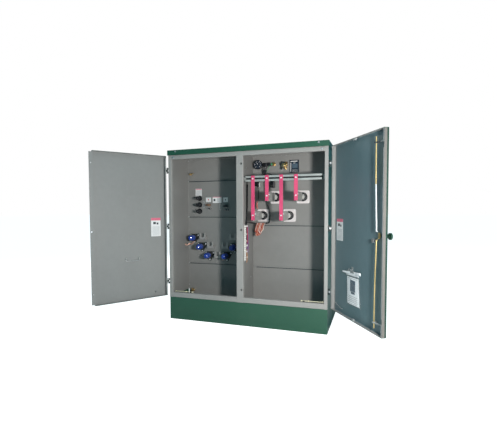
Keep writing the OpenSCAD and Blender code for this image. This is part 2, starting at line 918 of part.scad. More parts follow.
// ---------------------------------------------------------------- latch
// The handle, shaft and cam turn together about an axis through the right door's skin.
rod_x = 102;
rod_y = skin_y + 26;
cam_y = skin_y + sheet_t + 9;
hook_off = 13;
module latch_handle() {
    color(green) on_right_door() {
        along_y(handle_x, skin_y - 12, handle_z, shaft_r, 12 + sheet_t + 9 - 2);
        along_y(handle_x, skin_y - 24, handle_z, 22, 23.5);
        translate([handle_x, skin_y - 24, handle_z])
            rotate([90, 0, 0])
                linear_extrude(12)
                    difference() {
                        union() {
                            circle(r = 22);
                            translate([-74, -14])
                                square([74, 28]);
                            translate([-74, 0])
                                circle(r = 26);
                        }
                        translate([-74, 0])
                            circle(r = 8);
                    }
    }
}

module latch_cam() {
    color(gold) on_right_door() {
        difference() {
            union() {
                translate([handle_x, cam_y + 4, handle_z])
                    rotate([90, 0, 0])
                        linear_extrude(5)
                            union() {
                                circle(r = 17);
                                translate([-9, -cam_r - 3])
                                    square([18, 2 * cam_r + 6]);
                            }
                for (s = [-1, 1])
                    along_y(handle_x, cam_y + 3, handle_z + s * cam_r, 3.5, 9);
            }
            along_y(handle_x, cam_y - 3, handle_z, shaft_r, 3);
        }
    }
}

// A latch rod with a flattened eye beside the cam pin and a plain end in its guide.
module rod_path(s) {
    z1 = s > 0 ? door_z1 - 46 : door_z0 + 40;
    zc = handle_z + s * (cam_r + hook_off);
    wire([[handle_x + 22, rod_y, zc], [handle_x + 22, rod_y, zc + s * 40],
        [handle_x + 24, rod_y, zc + s * 90],
        [rod_x - 4, rod_y, zc + s * 330], [rod_x, rod_y, zc + s * 560], [rod_x, rod_y, z1 - s * 60],
        [rod_x, rod_y, z1]], rod_r, 3, 10);
}

module latch_rod_upper() {
    color(gold) on_right_door() {
        rod_path(1);
        along_x(handle_x + 8, rod_y, handle_z + cam_r + hook_off, rod_r - 0.6, 16);
    }
}

module latch_rod_lower() {
    color(gold) on_right_door() {
        rod_path(-1);
        along_x(handle_x + 8, rod_y, handle_z - cam_r - hook_off, rod_r - 0.6, 16);
    }
}

guide_z = [door_z1 - 92, door_z0 + 86];
tab_x = 440;
module door_brackets() {
    color(zinc) on_right_door() {
        booklet_hook();
        for (z = guide_z)
            difference() {
                union() {
                    box([rod_x - 11, in_y, z - 5], [rod_x + 11, rod_y + 12, z + 5]);
                    box([channel_x + sheet_t + 0.1, rod_y - 4, z - 5], [rod_x - 10, rod_y, z + 5]);
                }
                translate([rod_x, rod_y, z - 6])
                    cylinder(r = rod_r + 0.8, h = 12);
            }
        for (z = [door_z1 - sheet_t - 14.3, door_z0 + sheet_t + 0.3])
            translate([tab_x - 16, -door_gap - 22, z])
                cube([32, 18, 14]);
    }
}

module security_bolt() {
    color(zinc) on_right_door() {
        along_y(security_x, skin_y - 0.5, security_z, 8, sheet_t + 20);
        along_y(security_x, skin_y - 4.5, security_z, 16, 4);
        prism_y(security_x, skin_y - 16, security_z, 11, 12, 5);
        along_y(security_x, skin_y + sheet_t + 10, security_z, 17, 14);
    }
}

bag_x = [384, 600];
bag_z = [384, 668];
hook_x = 506;
hook_z = 700;
// A wire-form clip on a riveted plate holds the bag's header.
module booklet_hook() {
    y = in_y;
    box([hook_x - 14, y, hook_z - 4], [hook_x + 14, y + 3, hook_z + 22]);
    box([hook_x - 90, y + 8, bag_z[1] - 1], [hook_x + 90, y + 10, bag_z[1] + 17]);
    box([hook_x - 8, y + 3 - e, hook_z - 4], [hook_x + 8, y + 10, hook_z + 1]);
    box([hook_x - 8, y + 8, bag_z[1] + 16], [hook_x + 8, y + 10, hook_z + 1]);
}

module instruction_bag() {
    color("#e9edf2") on_right_door() {
        y = skin_y + sheet_t;
        box([bag_x[0], y + 3, bag_z[0]], [bag_x[1], y + 11, bag_z[1] - 1.3]);
    }
}

// ---------------------------------------------------------------- door stays
// Rods that lie along the sill and lift on a pivot at their outer end.
stay_pivot_x = [-797, 815];
stay_len = 208;
stay_z = open_z0 + 12;
stay_y = 22;
stay_r = 4;
stay_pin_r = 3.5;
module stay_rod(k) {
    s = k == 0 ? 1 : -1;
    x = stay_pivot_x[k];
    color(gold) cab() {
        difference() {
            along_y(x, stay_y - 5, stay_z, 8, 10);
            along_y(x, stay_y - 6, stay_z, stay_pin_r + 0.06, 12);
        }
        along_x(s > 0 ? x + 6 : x - stay_len, stay_y, stay_z, stay_r, stay_len - 6);
        translate([x + s * stay_len, stay_y, stay_z - 8])
            cylinder(r = stay_r + 1, h = 14);
        color(dark)
            translate([x + s * (k == 0 ? 126 : 138) - 4, stay_y, stay_z])
                rotate([0, 90, 0])
                    cylinder(r = 8.5, h = 8);
    }
}

module stay_rod_left() {
    stay_rod(0);
}

module stay_rod_right() {
    stay_rod(1);
}

module stay_clips() {
    color(zinc) cab() {
        for (k = [0, 1]) {
            s = k == 0 ? 1 : -1;
            x = stay_pivot_x[k];
            along_y(x, stay_y - 6, stay_z, stay_pin_r, 14);
            box([x - 9, stay_y + 5.4, open_z0], [x + 9, stay_y + 8.4, stay_z + 9]);
            xc = x + s * (stay_len - 26);
            difference() {
                box([xc - 7, stay_y - 8, open_z0], [xc + 7, stay_y + 8, stay_z + 2]);
                box([xc - 8, stay_y - stay_r - 0.4, stay_z - stay_r - 0.4],
                    [xc + 8, stay_y + stay_r + 0.4, stay_z + 3]);
            }
        }
    }
}

// ---------------------------------------------------------------- high-voltage side
wall_y = cab_d;
plate_t = 10;
clamp_r = 56;
module hv_bushings() {
    color(dark) cab() {
        for (p = hv_at) {
            along_y(p[0], wall_y - 46, p[1], hv_body_r - 4, 46 + 30);
            along_y(p[0], wall_y - plate_t - 8, p[1], hv_body_r, plate_t + 8 + front_t + tank_t);
            along_y(p[0], wall_y + front_t + tank_t, p[1], hv_body_r + 8, 8);
            along_y(p[0], wall_y + front_t + tank_t - e, p[1], 8, 30 + e);
        }
    }
}

// Three-cornered clamp plates with their point down.
module clamp_outline() {
    difference() {
        hull()
            for (a = [90 - 60, 90 + 60, 270])
                translate([clamp_r * cos(a), clamp_r * sin(a)])
                    circle(r = 15, $fn = 32);
        circle(r = hv_body_r + hole_clear);
        for (a = [30, 150, 270])
            translate([clamp_r * cos(a), clamp_r * sin(a)])
                circle(r = 5.5);
    }
}

module hv_clamp_plates() {
    color(dark) cab() {
        for (p = hv_at)
            translate([p[0], wall_y, p[1]])
                rotate([90, 0, 0])
                    linear_extrude(plate_t)
                        clamp_outline();
    }
}

// Caps: a collar, a long body that narrows, and a rounded pull nose.
cap_base_y = wall_y - plate_t - 9;
module hv_caps() {
    color("#2b4fb0") cab() {
        for (p = hv_at)
            translate([p[0], cap_base_y, p[1]])
                rotate([90, 0, 0])
                    rotate_extrude()
                        polygon([[hv_body_r - 3.7, 0], [42, 0], [43, 6], [42, 24], [37, 34], [35, 90],
                            [31, 116], [24, 130], [12, cap_len], [0, cap_len], [0, 40],
                                [hv_body_r - 3.7, 40]]);
    }
}

// U-shaped parking stands on two feet beside the bushings.
stand_off = 115;
stand_w = 80;
module parking_stand(x, z) {
    t = 4;
    y = wall_y - 46;
    difference() {
        box([x - stand_w / 2, y, z - 38], [x + stand_w / 2, y + t, z + 40]);
        translate([x, y - 1, z + 6])
            rotate([-90, 0, 0])
                cylinder(r = 20, h = t + 2);
        box([x - 20, y - 1, z + 6], [x + 20, y + t + 1, z + 50]);
    }
    for (s = [-1, 1])
        box([s > 0 ? x + stand_w / 2 - t : x - stand_w / 2, y + t - e, z - 38],
            [s > 0 ? x + stand_w / 2 : x - stand_w / 2 + t, wall_y, z - 4]);
}

module parking_stands() {
    color(grey) cab() {
        for (k = [0, 1])
            parking_stand(hv_at[k][0] + stand_off + 2, hv_at[k][1] + 18);
        for (k = [3, 4])
            parking_stand(hv_at[k][0] - stand_off - 2, hv_at[k][1] + 18);
        parking_stand(hv_mid_x, hv_low_z + 6);
    }
}

tube_len = 190;
module fuse_housings() {
    color(dark) cab() {
        for (p = fuse_at)
            difference() {
                union() {
                    along_y(p[0], wall_y - 58, p[1], 21, 54);
                    along_y(p[0], wall_y - 8, p[1], 32, 8);
                    along_y(p[0], wall_y - 1, p[1], fuse_tube_r, tube_len);
                }
                along_y(p[0], wall_y - 59, p[1], 14, tube_len + 50);
            }
    }
}

module fuse_puller(k) {
    p = fuse_at[k];
    color(dark) cab() {
        along_y(p[0], wall_y - 73, p[1], 13.6, 69 + tube_len - 20);
        along_y(p[0], wall_y - 72, p[1], 21, 13.7);
        along_y(p[0], wall_y - 88, p[1], 7, 17);
        difference() {
            along_x(p[0] - 5, wall_y - 97, p[1], 14, 10);
            along_x(p[0] - 6, wall_y - 97, p[1], 8, 12);
        }
    }
}

module fuse_puller_1() {
    fuse_puller(0);
}

module fuse_puller_2() {
    fuse_puller(1);
}

module fuse_puller_3() {
    fuse_puller(2);
}

boss_r = 19;
boss_len = 26;
module switch_plates() {
    color(zinc) cab() {
        for (p = switch_at)
            difference() {
                union() {
                    wall_plate(p[0], p[1] - 12, 62, 92, 8, wall_y - 3, 3);
                    along_y(p[0], wall_y - boss_len, p[1], boss_r, boss_len);
                    along_y(p[0], wall_y - e, p[1], stem_r + 4, 24);
                    for (s = [-1, 1])
                        prism_y(p[0] + s * 22, wall_y - 9, p[1] - 50, 6, 6 + e);
                }
                along_y(p[0], wall_y - boss_len - 1, p[1], stem_r + 0.06, boss_len + 40);
            }
    }
}

// A turning handle with an eye at each end for a hot stick.
module switch_handle(k) {
    p = switch_at[k];
    color(k == 0 ? copper : dark) cab() {
        along_y(p[0], wall_y - boss_len - 12, p[1], stem_r, boss_len + 60);
        along_y(p[0], wall_y - boss_len - 22, p[1], 14, 21.6);
        translate([p[0], wall_y - boss_len - 12, p[1]])
            rotate([90, 0, 0])
                linear_extrude(9)
                    difference() {
                        union() {
                            square([40, 12], center = true);
                            for (s = [-1, 1])
                                translate([s * 22, 0])
                                    circle(r = 12);
                        }
                        for (s = [-1, 1])
                            translate([s * 22, 0])
                                circle(r = 6.5);
                    }
    }
}

module switch_handle_1() {
    switch_handle(0);
}

module switch_handle_2() {
    switch_handle(1);
}

// Bare earthing strap from the side wall's boss to the first clamp.
earth_y = wall_y - 90;
earth_route = [[-856, earth_y, 804], [-842, earth_y, 798], [-828, earth_y + 4, 806],
    [-814, earth_y + 18, 814],
    [-802, earth_y + 36, 806], [-794, earth_y + 52, 810], [-788, earth_y + 61, 820]];
module earth_strap() {
    color(copper) cab() {
        wire(earth_route, 5, 3, 10);
        along_x(-cab_x + sheet_t, earth_y, 804, 13, 6);
        difference() {
            along_y(hv_at[0][0], wall_y - 22.6, hv_at[0][1] - clamp_r, 13, 3);
            along_y(hv_at[0][0], wall_y - 23, hv_at[0][1] - clamp_r, 5.4, 4);
        }
        box([hv_at[0][0] - 20, wall_y - 32, hv_at[0][1] - clamp_r - 14],
            [hv_at[0][0] - 8, wall_y - 19.6, hv_at[0][1] - clamp_r - 4]);
    }
}

module wall_fittings() {
    color(gold) cab() {
        along_y(earth_at[0], wall_y - 30, earth_at[1], earth_r + 4, 30);
        along_x(earth_at[0] - 1, wall_y - 24, earth_at[1] + 8, 4, 46);
        prism_y(earth_at[0], wall_y - 40, earth_at[1], 10, 11);
        prism_y(plug_at[0], wall_y - 26, plug_at[1], 18, 18);
        along_y(plug_at[0], wall_y - 9, plug_at[1], plug_r, 9 + front_t + tank_t);
        along_y(plug_at[0], wall_y - 9, plug_at[1], 22, 9);
    }
}

valve_stem_r = 4;
module drain_valve() {
    color(gold) cab() {
        difference() {
            union() {
                along_y(drain_at[0], wall_y - 44, drain_at[1], 12, 50);
                along_y(drain_at[0], wall_y - 6, drain_at[1], drain_r, 6 + front_t + tank_t + 6);
                prism_y(drain_at[0], wall_y - 58, drain_at[1], 15, 20);
                translate([drain_at[0], wall_y - 26, drain_at[1]])
                    cylinder(r = 9, h = 24);
            }
            translate([drain_at[0], wall_y - 26, drain_at[1] + 4])
                cylinder(r = valve_stem_r + 0.06, h = 30);
        }
    }
}

module drain_handle() {
    color(gold) cab() {
        translate([drain_at[0], wall_y - 26, drain_at[1] + 5])
            cylinder(r = valve_stem_r, h = 24);
        translate([drain_at[0], wall_y - 26, drain_at[1] + 25])
            linear_extrude(4)
                union() {
                    circle(r = 9);
                    translate([-6, -44])
                        square([12, 44]);
                    translate([0, -44])
                        circle(r = 6);
                }
    }
}

// ---------------------------------------------------------------- low-voltage side
lv_bolt = 56;
module lv_flange_plates() {
    color("#d9d3cf") cab() {
        for (p = lv_at)
            difference() {
                wall_plate(p[0], p[1], lv_plate, lv_plate, 18, wall_y - 12, 12);
                along_y(p[0], wall_y - 13, p[1], lv_body_r + hole_clear, 14);
                for (sx = [-1, 1], sz = [-1, 1])
                    along_y(p[0] + sx * lv_bolt, wall_y - 13, p[1] + sz * lv_bolt, 5.2, 14);
            }
    }
}

module lv_insulators() {
    color(dark) cab() {
        for (p = lv_at)
            difference() {
                union() {
                    along_y(p[0], wall_y - 12, p[1], lv_body_r, 12 + front_t + tank_t);
                    along_y(p[0], wall_y - 24, p[1], 50, 12);
                    along_y(p[0], wall_y - 44, p[1], 42, 21);
                    along_y(p[0], wall_y + front_t + tank_t, p[1], lv_body_r + 6, 8);
                }
                along_y(p[0], wall_y - 45, p[1], lv_stud_r + hole_clear, 80);
            }
    }
}
lv_stud_r = 19;

// A stud through the insulator and a long blade with two rows of holes.
spade_holes = 5;
spade_row = spade_pitch / 2;
spade_first_y = spade_tip_y + 26;
module lv_spades() {
    color("#a9a7a2") cab() {
        for (p = lv_at)
            difference() {
                union() {
                    along_y(p[0], wall_y - 80, p[1], lv_stud_r, 80 + front_t + tank_t + 8);
                    translate([p[0] - spade_t / 2, 0, p[1]])
                        rotate([90, 0, 90])
                            linear_extrude(spade_t)
                                polygon([[spade_tip_y, -spade_h / 2 + 6], [spade_tip_y + 6, -spade_h / 2],
                                    [wall_y - 150, -spade_h / 2], [wall_y - 78, -24], [wall_y - 78, 24],
                                    [wall_y - 150, spade_h / 2], [spade_tip_y + 6, spade_h / 2],
                                    [spade_tip_y, spade_h / 2 - 6]]);
                    prism_y(p[0], wall_y - 84, p[1], 30, 26);
                }
                for (k = [0:spade_holes - 1], s = [-1, 1])
                    along_x(p[0] - spade_t, spade_first_y + k * spade_pitch, p[1] + s * spade_row,
                        spade_hole_r, 2 * spade_t);
            }
    }
}

// Straps hang in front of the rail and hold the spade tips through angle clips.
strap_y = spade_tip_y - 4 - strap_t;
strap_x = [for (p = lv_at) p[0] - 6];
strap_top = rail_z + rail_face + 2;
strap_bolt_z = rail_z + rail_face / 2;
strap_low = [for (p = lv_at) p[1] - 44];
module support_straps() {
    color("#e8608a") cab() {
        for (k = [0:3])
            difference() {
                box([strap_x[k] - strap_w / 2, strap_y, strap_low[k]],
                    [strap_x[k] + strap_w / 2, strap_y + strap_t, strap_top]);
                for (z = [strap_bolt_z, lv_at[k][1] + 8])
                    along_y(strap_x[k], strap_y - 1, z, 5.2, strap_t + 2);
            }
    }
}

rail_x = [4, 794];
module support_rail() {
    color("#b9bcbc") cab() {
        y = strap_y + strap_t;
        t = 2.5;
        translate([rail_x[0], 0, rail_z])
            rotate([90, 0, 90])
                folded(rail_x[1] - rail_x[0], [[y + t / 2, rail_face / 2 - 9], [y + t / 2, t / 2],
                    [y + 41, t / 2], [y + 41, rail_face - t / 2], [y + t / 2, rail_face - t / 2],
                    [y + t / 2, rail_face / 2 + 9]], t, 1.5);
        box([post_mid_x + sheet_t / 2, y + 42.2, rail_z + 6],
            [rail_x[0] + 60, y + 46.2, rail_z + rail_face - 6]);
        box([post_mid_x + sheet_t / 2, y + 42.2, rail_z + 6],
            [post_mid_x + sheet_t / 2 + 4, y + 90, rail_z + rail_face - 6]);
        box([rail_x[1] - 60, y + 42.2, rail_z + 6], [cab_x - sheet_t, y + 46.2, rail_z + rail_face - 6]);
        box([cab_x - sheet_t - 4, y + 42.2, rail_z + 6], [cab_x - sheet_t, y + 90, rail_z + rail_face - 6]);
    }
}

module bushing_fasteners() {
    color(zinc) cab() {
        for (p = hv_at, a = [30, 150, 270])
            let (x = p[0] + clamp_r * cos(a), z = p[1] + clamp_r * sin(a)) {
                along_y(x, wall_y - plate_t - 14, z, 5, plate_t + 14);
                prism_y(x, wall_y - plate_t - 9, z, 9, 9);
            }
        for (p = lv_at, sx = [-1, 1], sz = [-1, 1])
            let (x = p[0] + sx * lv_bolt, z = p[1] + sz * lv_bolt) {
                along_y(x, wall_y - 24, z, 5, 24);
                prism_y(x, wall_y - 20, z, 8.5, 8);
            }
        for (k = [0:3]) {
            p = lv_at[k];
            y = strap_y + strap_t;
            x1 = p[0] - spade_t / 2;
            for (q = [[strap_bolt_z, 9], [p[1] + 8, 3.7]]) {
                along_y(strap_x[k], strap_y - 9, q[0], 5, strap_t + 9 + q[1]);
                prism_y(strap_x[k], strap_y - 7, q[0], 9, 7);
            }
            box([strap_x[k] - 14, y + 2.7, strap_bolt_z - 15], [strap_x[k] + 14, y + 8.7, strap_bolt_z + 15]);
            box([strap_x[k] - strap_w / 2 + 2, y, p[1] - 12], [x1, y + 4, p[1] + 28]);
            box([x1 - 4, y + e, p[1] - 12], [x1, y + 50, p[1] + 40]);
            along_x(x1 - 14, spade_first_y, p[1] + spade_row, 6.9, spade_t + 24);
        }
    }
}

module dial_gauge() {
    color(dark) cab() {
        along_y(gauge_at[0], wall_y - 40, gauge_at[1], 50, 28);
        along_y(gauge_at[0], wall_y - 46, gauge_at[1], 53, 7);
        along_y(gauge_at[0], wall_y - 13, gauge_at[1], 24, 13);
        along_y(gauge_at[0], wall_y - e, gauge_at[1], gauge_stem_r, 60);
        box([gauge_at[0] + 40, wall_y - 38, gauge_at[1] - 10],
            [gauge_at[0] + 62, wall_y - 16, gauge_at[1] + 10]);
    }
}

module nameplate() {
    color(dark) cab() {
        wall_plate(plate_at[0], plate_at[1], 104, 139, 3, wall_y - 8, 2);
        for (sx = [-1, 1], sz = [-1, 1])
            along_y(plate_at[0] + sx * 46, wall_y - 9.5, plate_at[1] + sz * 63, 3, 9.5);
    }
}
plate_at = [445, 1702];

module relief_valve() {
    color(gold) cab() {
        difference() {
            union() {
                along_y(relief_at[0], wall_y - 26, relief_at[1], relief_r, 26 + front_t + tank_t + 8);
                prism_y(relief_at[0], wall_y - 16, relief_at[1], 29, 15.9);
                along_y(relief_at[0], wall_y - 74, relief_at[1], 25, 49);
                along_y(relief_at[0], wall_y - 80, relief_at[1], 9, 7);
            }
            along_y(relief_at[0], wall_y - 81, relief_at[1], ring_stem_r + 0.3, 41);
        }
    }
}

ring_stem_r = 5;
module relief_ring() {
    color(zinc) cab() {
        difference() {
            along_y(relief_at[0], wall_y - 106, relief_at[1], ring_stem_r, 60);
            along_x(relief_at[0] - 8, wall_y - 100, relief_at[1], 2.2, 16);
        }
        translate([relief_at[0], wall_y - 100, relief_at[1] - 14])
            rotate([0, 90, 0])
                rotate_extrude()
                    translate([14, 0])
                        circle(r = 1.9, $fn = 24);
    }
}

strip_at = [wall_y - 316, 863];
strip_len = 400;
module terminal_strip() {
    color("#e8e6e0") cab() {
        x = post_mid_x + sheet_t / 2;
        box([x, strip_at[0] - 43, strip_at[1] - strip_len / 2],
            [x + 2, strip_at[0] + 43, strip_at[1] + strip_len / 2]);
        for (k = [0:15])
            box([x + 2 - e, strip_at[0] - 22, strip_at[1] - 190 + k * 24],
                [x + 16, strip_at[0] + 22, strip_at[1] - 190 + k * 24 + 20]);
    }
}

// Wires of the control circuit. Points are in the cabinet's frame.
harness_r = 4;
// Each point is across, out from the wall, and up.
harness_routes = [
    [[104, 50, 1733], [112, 54, 1730], [120, 60, 1700], [124, 60, 1660], [126, 60, 1620], [128, 54, 1560],
        [130, 50, 1480], [150, 50, 1300], [168, 50, 1240], [176, 48, 1200], [178, 48, 1120], [166, 48, 1074],
        [100, 48, 1068], [30, 52, 1066], [-8, 80, 1072], [-20, 170, 1080], [-20, 250, 1084], [-20, 288, 1082],
        [-20, 300, 1070], [-20, 300, 1054]],
    [[-24, 250, 1500], [-24, 254, 1460], [-24, 264, 1380], [-24, 270, 1300], [-24, 278, 1220],
        [-24, 294, 1130],
        [-21, 314, 1090], [-20, 320, 1070], [-20, 320, 1054]],
    [[36, 54, 1250], [34, 58, 1285], [38, 58, 1312], [46, 54, 1340], [50, 48, 1400], [44, 44, 1450],
        [38, 42, 1490]],
    [[28, 53, 1067], [22, 80, 1040], [20, 108, 1000], [30, 124, 962], [52, 130, 944], [76, 122, 962],
        [88, 100, 1000], [93, 70, 1040], [96, 50, 1068]],
    [[60, 51, 1067], [52, 80, 1030], [56, 104, 978], [76, 114, 936], [104, 112, 932], [120, 100, 966],
        [120, 76, 1016], [122, 58, 1050], [128, 48, 1069]]];
module wiring_harness() {
    color(dark) cab() {
        for (k = [0:4])
            wire([for (p = harness_routes[k]) [p[0], wall_y - p[1], p[2]]],
                harness_r + (k == 0 ? 3 : 0), 2, 8);
        box([gauge_at[0] + 62.3, wall_y - 44, 1708], [140, wall_y - 18, 1748]);
        box([150, wall_y - 42, 1712], [186, wall_y, 1752]);
        box([110, wall_y - 66, 1612], [146, wall_y - 48, 1668]);
        box([-6, wall_y - 60, 1484], [56, wall_y, 1540]);
        box([186, wall_y - 60, 1470], [232, wall_y, 1540]);
    }
}

cabinet_roof();
cabinet_side_left();
cabinet_side_right();
door_frame();
base_sill();
compartment_barrier();
cabinet_bolts();
tank_body();
tank_cover();
cooling_panels();
core();
core_clamps();
coils();
inner_leads();
frame_hinges();
left_door();
left_door_hinges();
left_door_bail();
captive_bolt_upper();
captive_bolt_lower();
right_door();
right_door_channel();
right_door_hinges();
latch_handle();
latch_cam();
latch_rod_upper();
latch_rod_lower();
door_brackets();
security_bolt();
instruction_bag();
stay_rod_left();
stay_rod_right();
stay_clips();
hv_bushings();
hv_clamp_plates();
hv_caps();
parking_stands();
fuse_housings();
fuse_puller_1();
fuse_puller_2();
fuse_puller_3();
switch_plates();
switch_handle_1();
switch_handle_2();
earth_strap();
wall_fittings();
drain_valve();
drain_handle();
lv_flange_plates();
lv_insulators();
lv_spades();
support_straps();
support_rail();
bushing_fasteners();
dial_gauge();
nameplate();
relief_valve();
relief_ring();
terminal_strip();
wiring_harness();
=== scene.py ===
import json
import math

import bmesh
import bpy
from mathutils import Matrix, Vector


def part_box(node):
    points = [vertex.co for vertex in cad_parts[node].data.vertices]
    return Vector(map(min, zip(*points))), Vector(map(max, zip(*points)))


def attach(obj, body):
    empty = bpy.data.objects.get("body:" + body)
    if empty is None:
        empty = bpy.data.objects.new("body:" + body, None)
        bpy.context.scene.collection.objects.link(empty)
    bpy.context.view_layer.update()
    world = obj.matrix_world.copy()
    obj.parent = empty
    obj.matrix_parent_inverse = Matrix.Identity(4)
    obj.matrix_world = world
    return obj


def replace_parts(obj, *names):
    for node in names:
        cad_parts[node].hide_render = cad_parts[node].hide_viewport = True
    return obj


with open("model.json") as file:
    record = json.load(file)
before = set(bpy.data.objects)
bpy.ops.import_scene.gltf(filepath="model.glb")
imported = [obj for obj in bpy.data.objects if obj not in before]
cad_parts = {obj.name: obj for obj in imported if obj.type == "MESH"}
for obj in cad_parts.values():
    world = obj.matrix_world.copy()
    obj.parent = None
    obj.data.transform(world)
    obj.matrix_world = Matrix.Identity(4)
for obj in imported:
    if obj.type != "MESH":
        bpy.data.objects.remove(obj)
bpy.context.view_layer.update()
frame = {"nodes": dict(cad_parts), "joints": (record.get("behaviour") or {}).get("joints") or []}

NODES = frame["nodes"]
JOINTS = {j["name"]: j for j in frame["joints"]}

# ------------------------------------------------------------------ places
# Cabinet coordinates are millimetres: x right, y into the cabinet from the door frame's front, z up.
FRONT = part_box("base_sill")[0].y


def C(x, y, z):
    return Vector((x / 1000, FRONT + y / 1000, z / 1000))


def door_matrix(joint, limit):
    """Closed cabinet coordinates to where the open door stands."""
    j = JOINTS[joint]
    h = Vector((j["pos_m"][0], j["pos_m"][1], 0))
    turn = Matrix.Rotation(-math.radians(j["range_deg"][limit]), 4, "Z")
    return Matrix.Translation(h) @ turn @ Matrix.Translation(-h)


LEFT = door_matrix("left_door_swing", 1)
RIGHT = door_matrix("right_door_swing", 0)
STILL = Matrix.Identity(4)


# ------------------------------------------------------------------ shader helpers
class Tree:
    def __init__(self, name):
        self.mat = bpy.data.materials.new(name)
        self.mat.use_nodes = True
        self.n = self.mat.node_tree.nodes
        self.l = self.mat.node_tree.links
        self.bsdf = self.n["Principled BSDF"]
        self.co = self.n.new("ShaderNodeTexCoord").outputs["Object"]

    def link(self, a, b):
        self.l.new(a, b)

    def noise(self, scale, detail=3.0, rough=0.55, vec=None):
        t = self.n.new("ShaderNodeTexNoise")
        t.inputs["Scale"].default_value = scale
        t.inputs["Detail"].default_value = detail
        t.inputs["Roughness"].default_value = rough
        self.link(vec or self.co, t.inputs["Vector"])
        return t.outputs["Fac"]

    def stretch(self, x, y, z, rot=(0, 0, 0)):
        m = self.n.new("ShaderNodeMapping")
        m.inputs["Scale"].default_value = (x, y, z)
        m.inputs["Rotation"].default_value = rot
        self.link(self.co, m.inputs["Vector"])
        return m.outputs["Vector"]

    def span(self, val, lo, hi, out_lo=0.0, out_hi=1.0):
        m = self.n.new("ShaderNodeMapRange")
        m.inputs["From Min"].default_value = lo
        m.inputs["From Max"].default_value = hi
        m.inputs["To Min"].default_value = out_lo
        m.inputs["To Max"].default_value = out_hi
        self.link(val, m.inputs["Value"])
        return m.outputs["Result"]

    def math(self, op, a, b=None):
        m = self.n.new("ShaderNodeMath")
        m.operation = op
        for k, v in enumerate((a, b)):
            if v is None:
                continue
            if isinstance(v, (int, float)):
                m.inputs[k].default_value = v
            else:
                self.link(v, m.inputs[k])
        return m.outputs[0]

    def mix(self, fac, a, b):
        m = self.n.new("ShaderNodeMix")
        m.data_type = "RGBA"
        ins = [s for s in m.inputs if s.type == "RGBA"]
        for s, v in zip(ins, (a, b)):
            if isinstance(v, tuple):
                s.default_value = (*v, 1)
            else:
                self.link(v, s)
        self.link(fac, m.inputs["Factor"])
        return [o for o in m.outputs if o.type == "RGBA"][0]

    def in_box(self, lo, hi, turn=None):
        """1 inside a box given in metres, optionally in a door's closed coordinates."""
        vec = self.co
        if turn is not None:
            inv = turn.inverted()
            m = self.n.new("ShaderNodeMapping")
            m.inputs["Rotation"].default_value = inv.to_euler()
            m.inputs["Location"].default_value = inv.translation
            self.link(vec, m.inputs["Vector"])
            vec = m.outputs["Vector"]
        mid = [(a + b) / 2 for a, b in zip(lo, hi)]
        half = [(b - a) / 2 for a, b in zip(lo, hi)]
        out = vec
        for op, val in (("SUBTRACT", mid), ("ABSOLUTE", None), ("SUBTRACT", half)):
            v = self.n.new("ShaderNodeVectorMath")
            v.operation = op
            self.link(out, v.inputs[0])
            if val is not None:
                v.inputs[1].default_value = val
            out = v.outputs[0]
        s = self.n.new("ShaderNodeSeparateXYZ")
        self.link(out, s.inputs[0])
        top = self.math("MAXIMUM", self.math("MAXIMUM", s.outputs[0], s.outputs[1]), s.outputs[2])
        return self.math("LESS_THAN", top, 0.0)


def shade(c, k):
    return tuple(min(1.0, max(0.0, v * k)) for v in c)


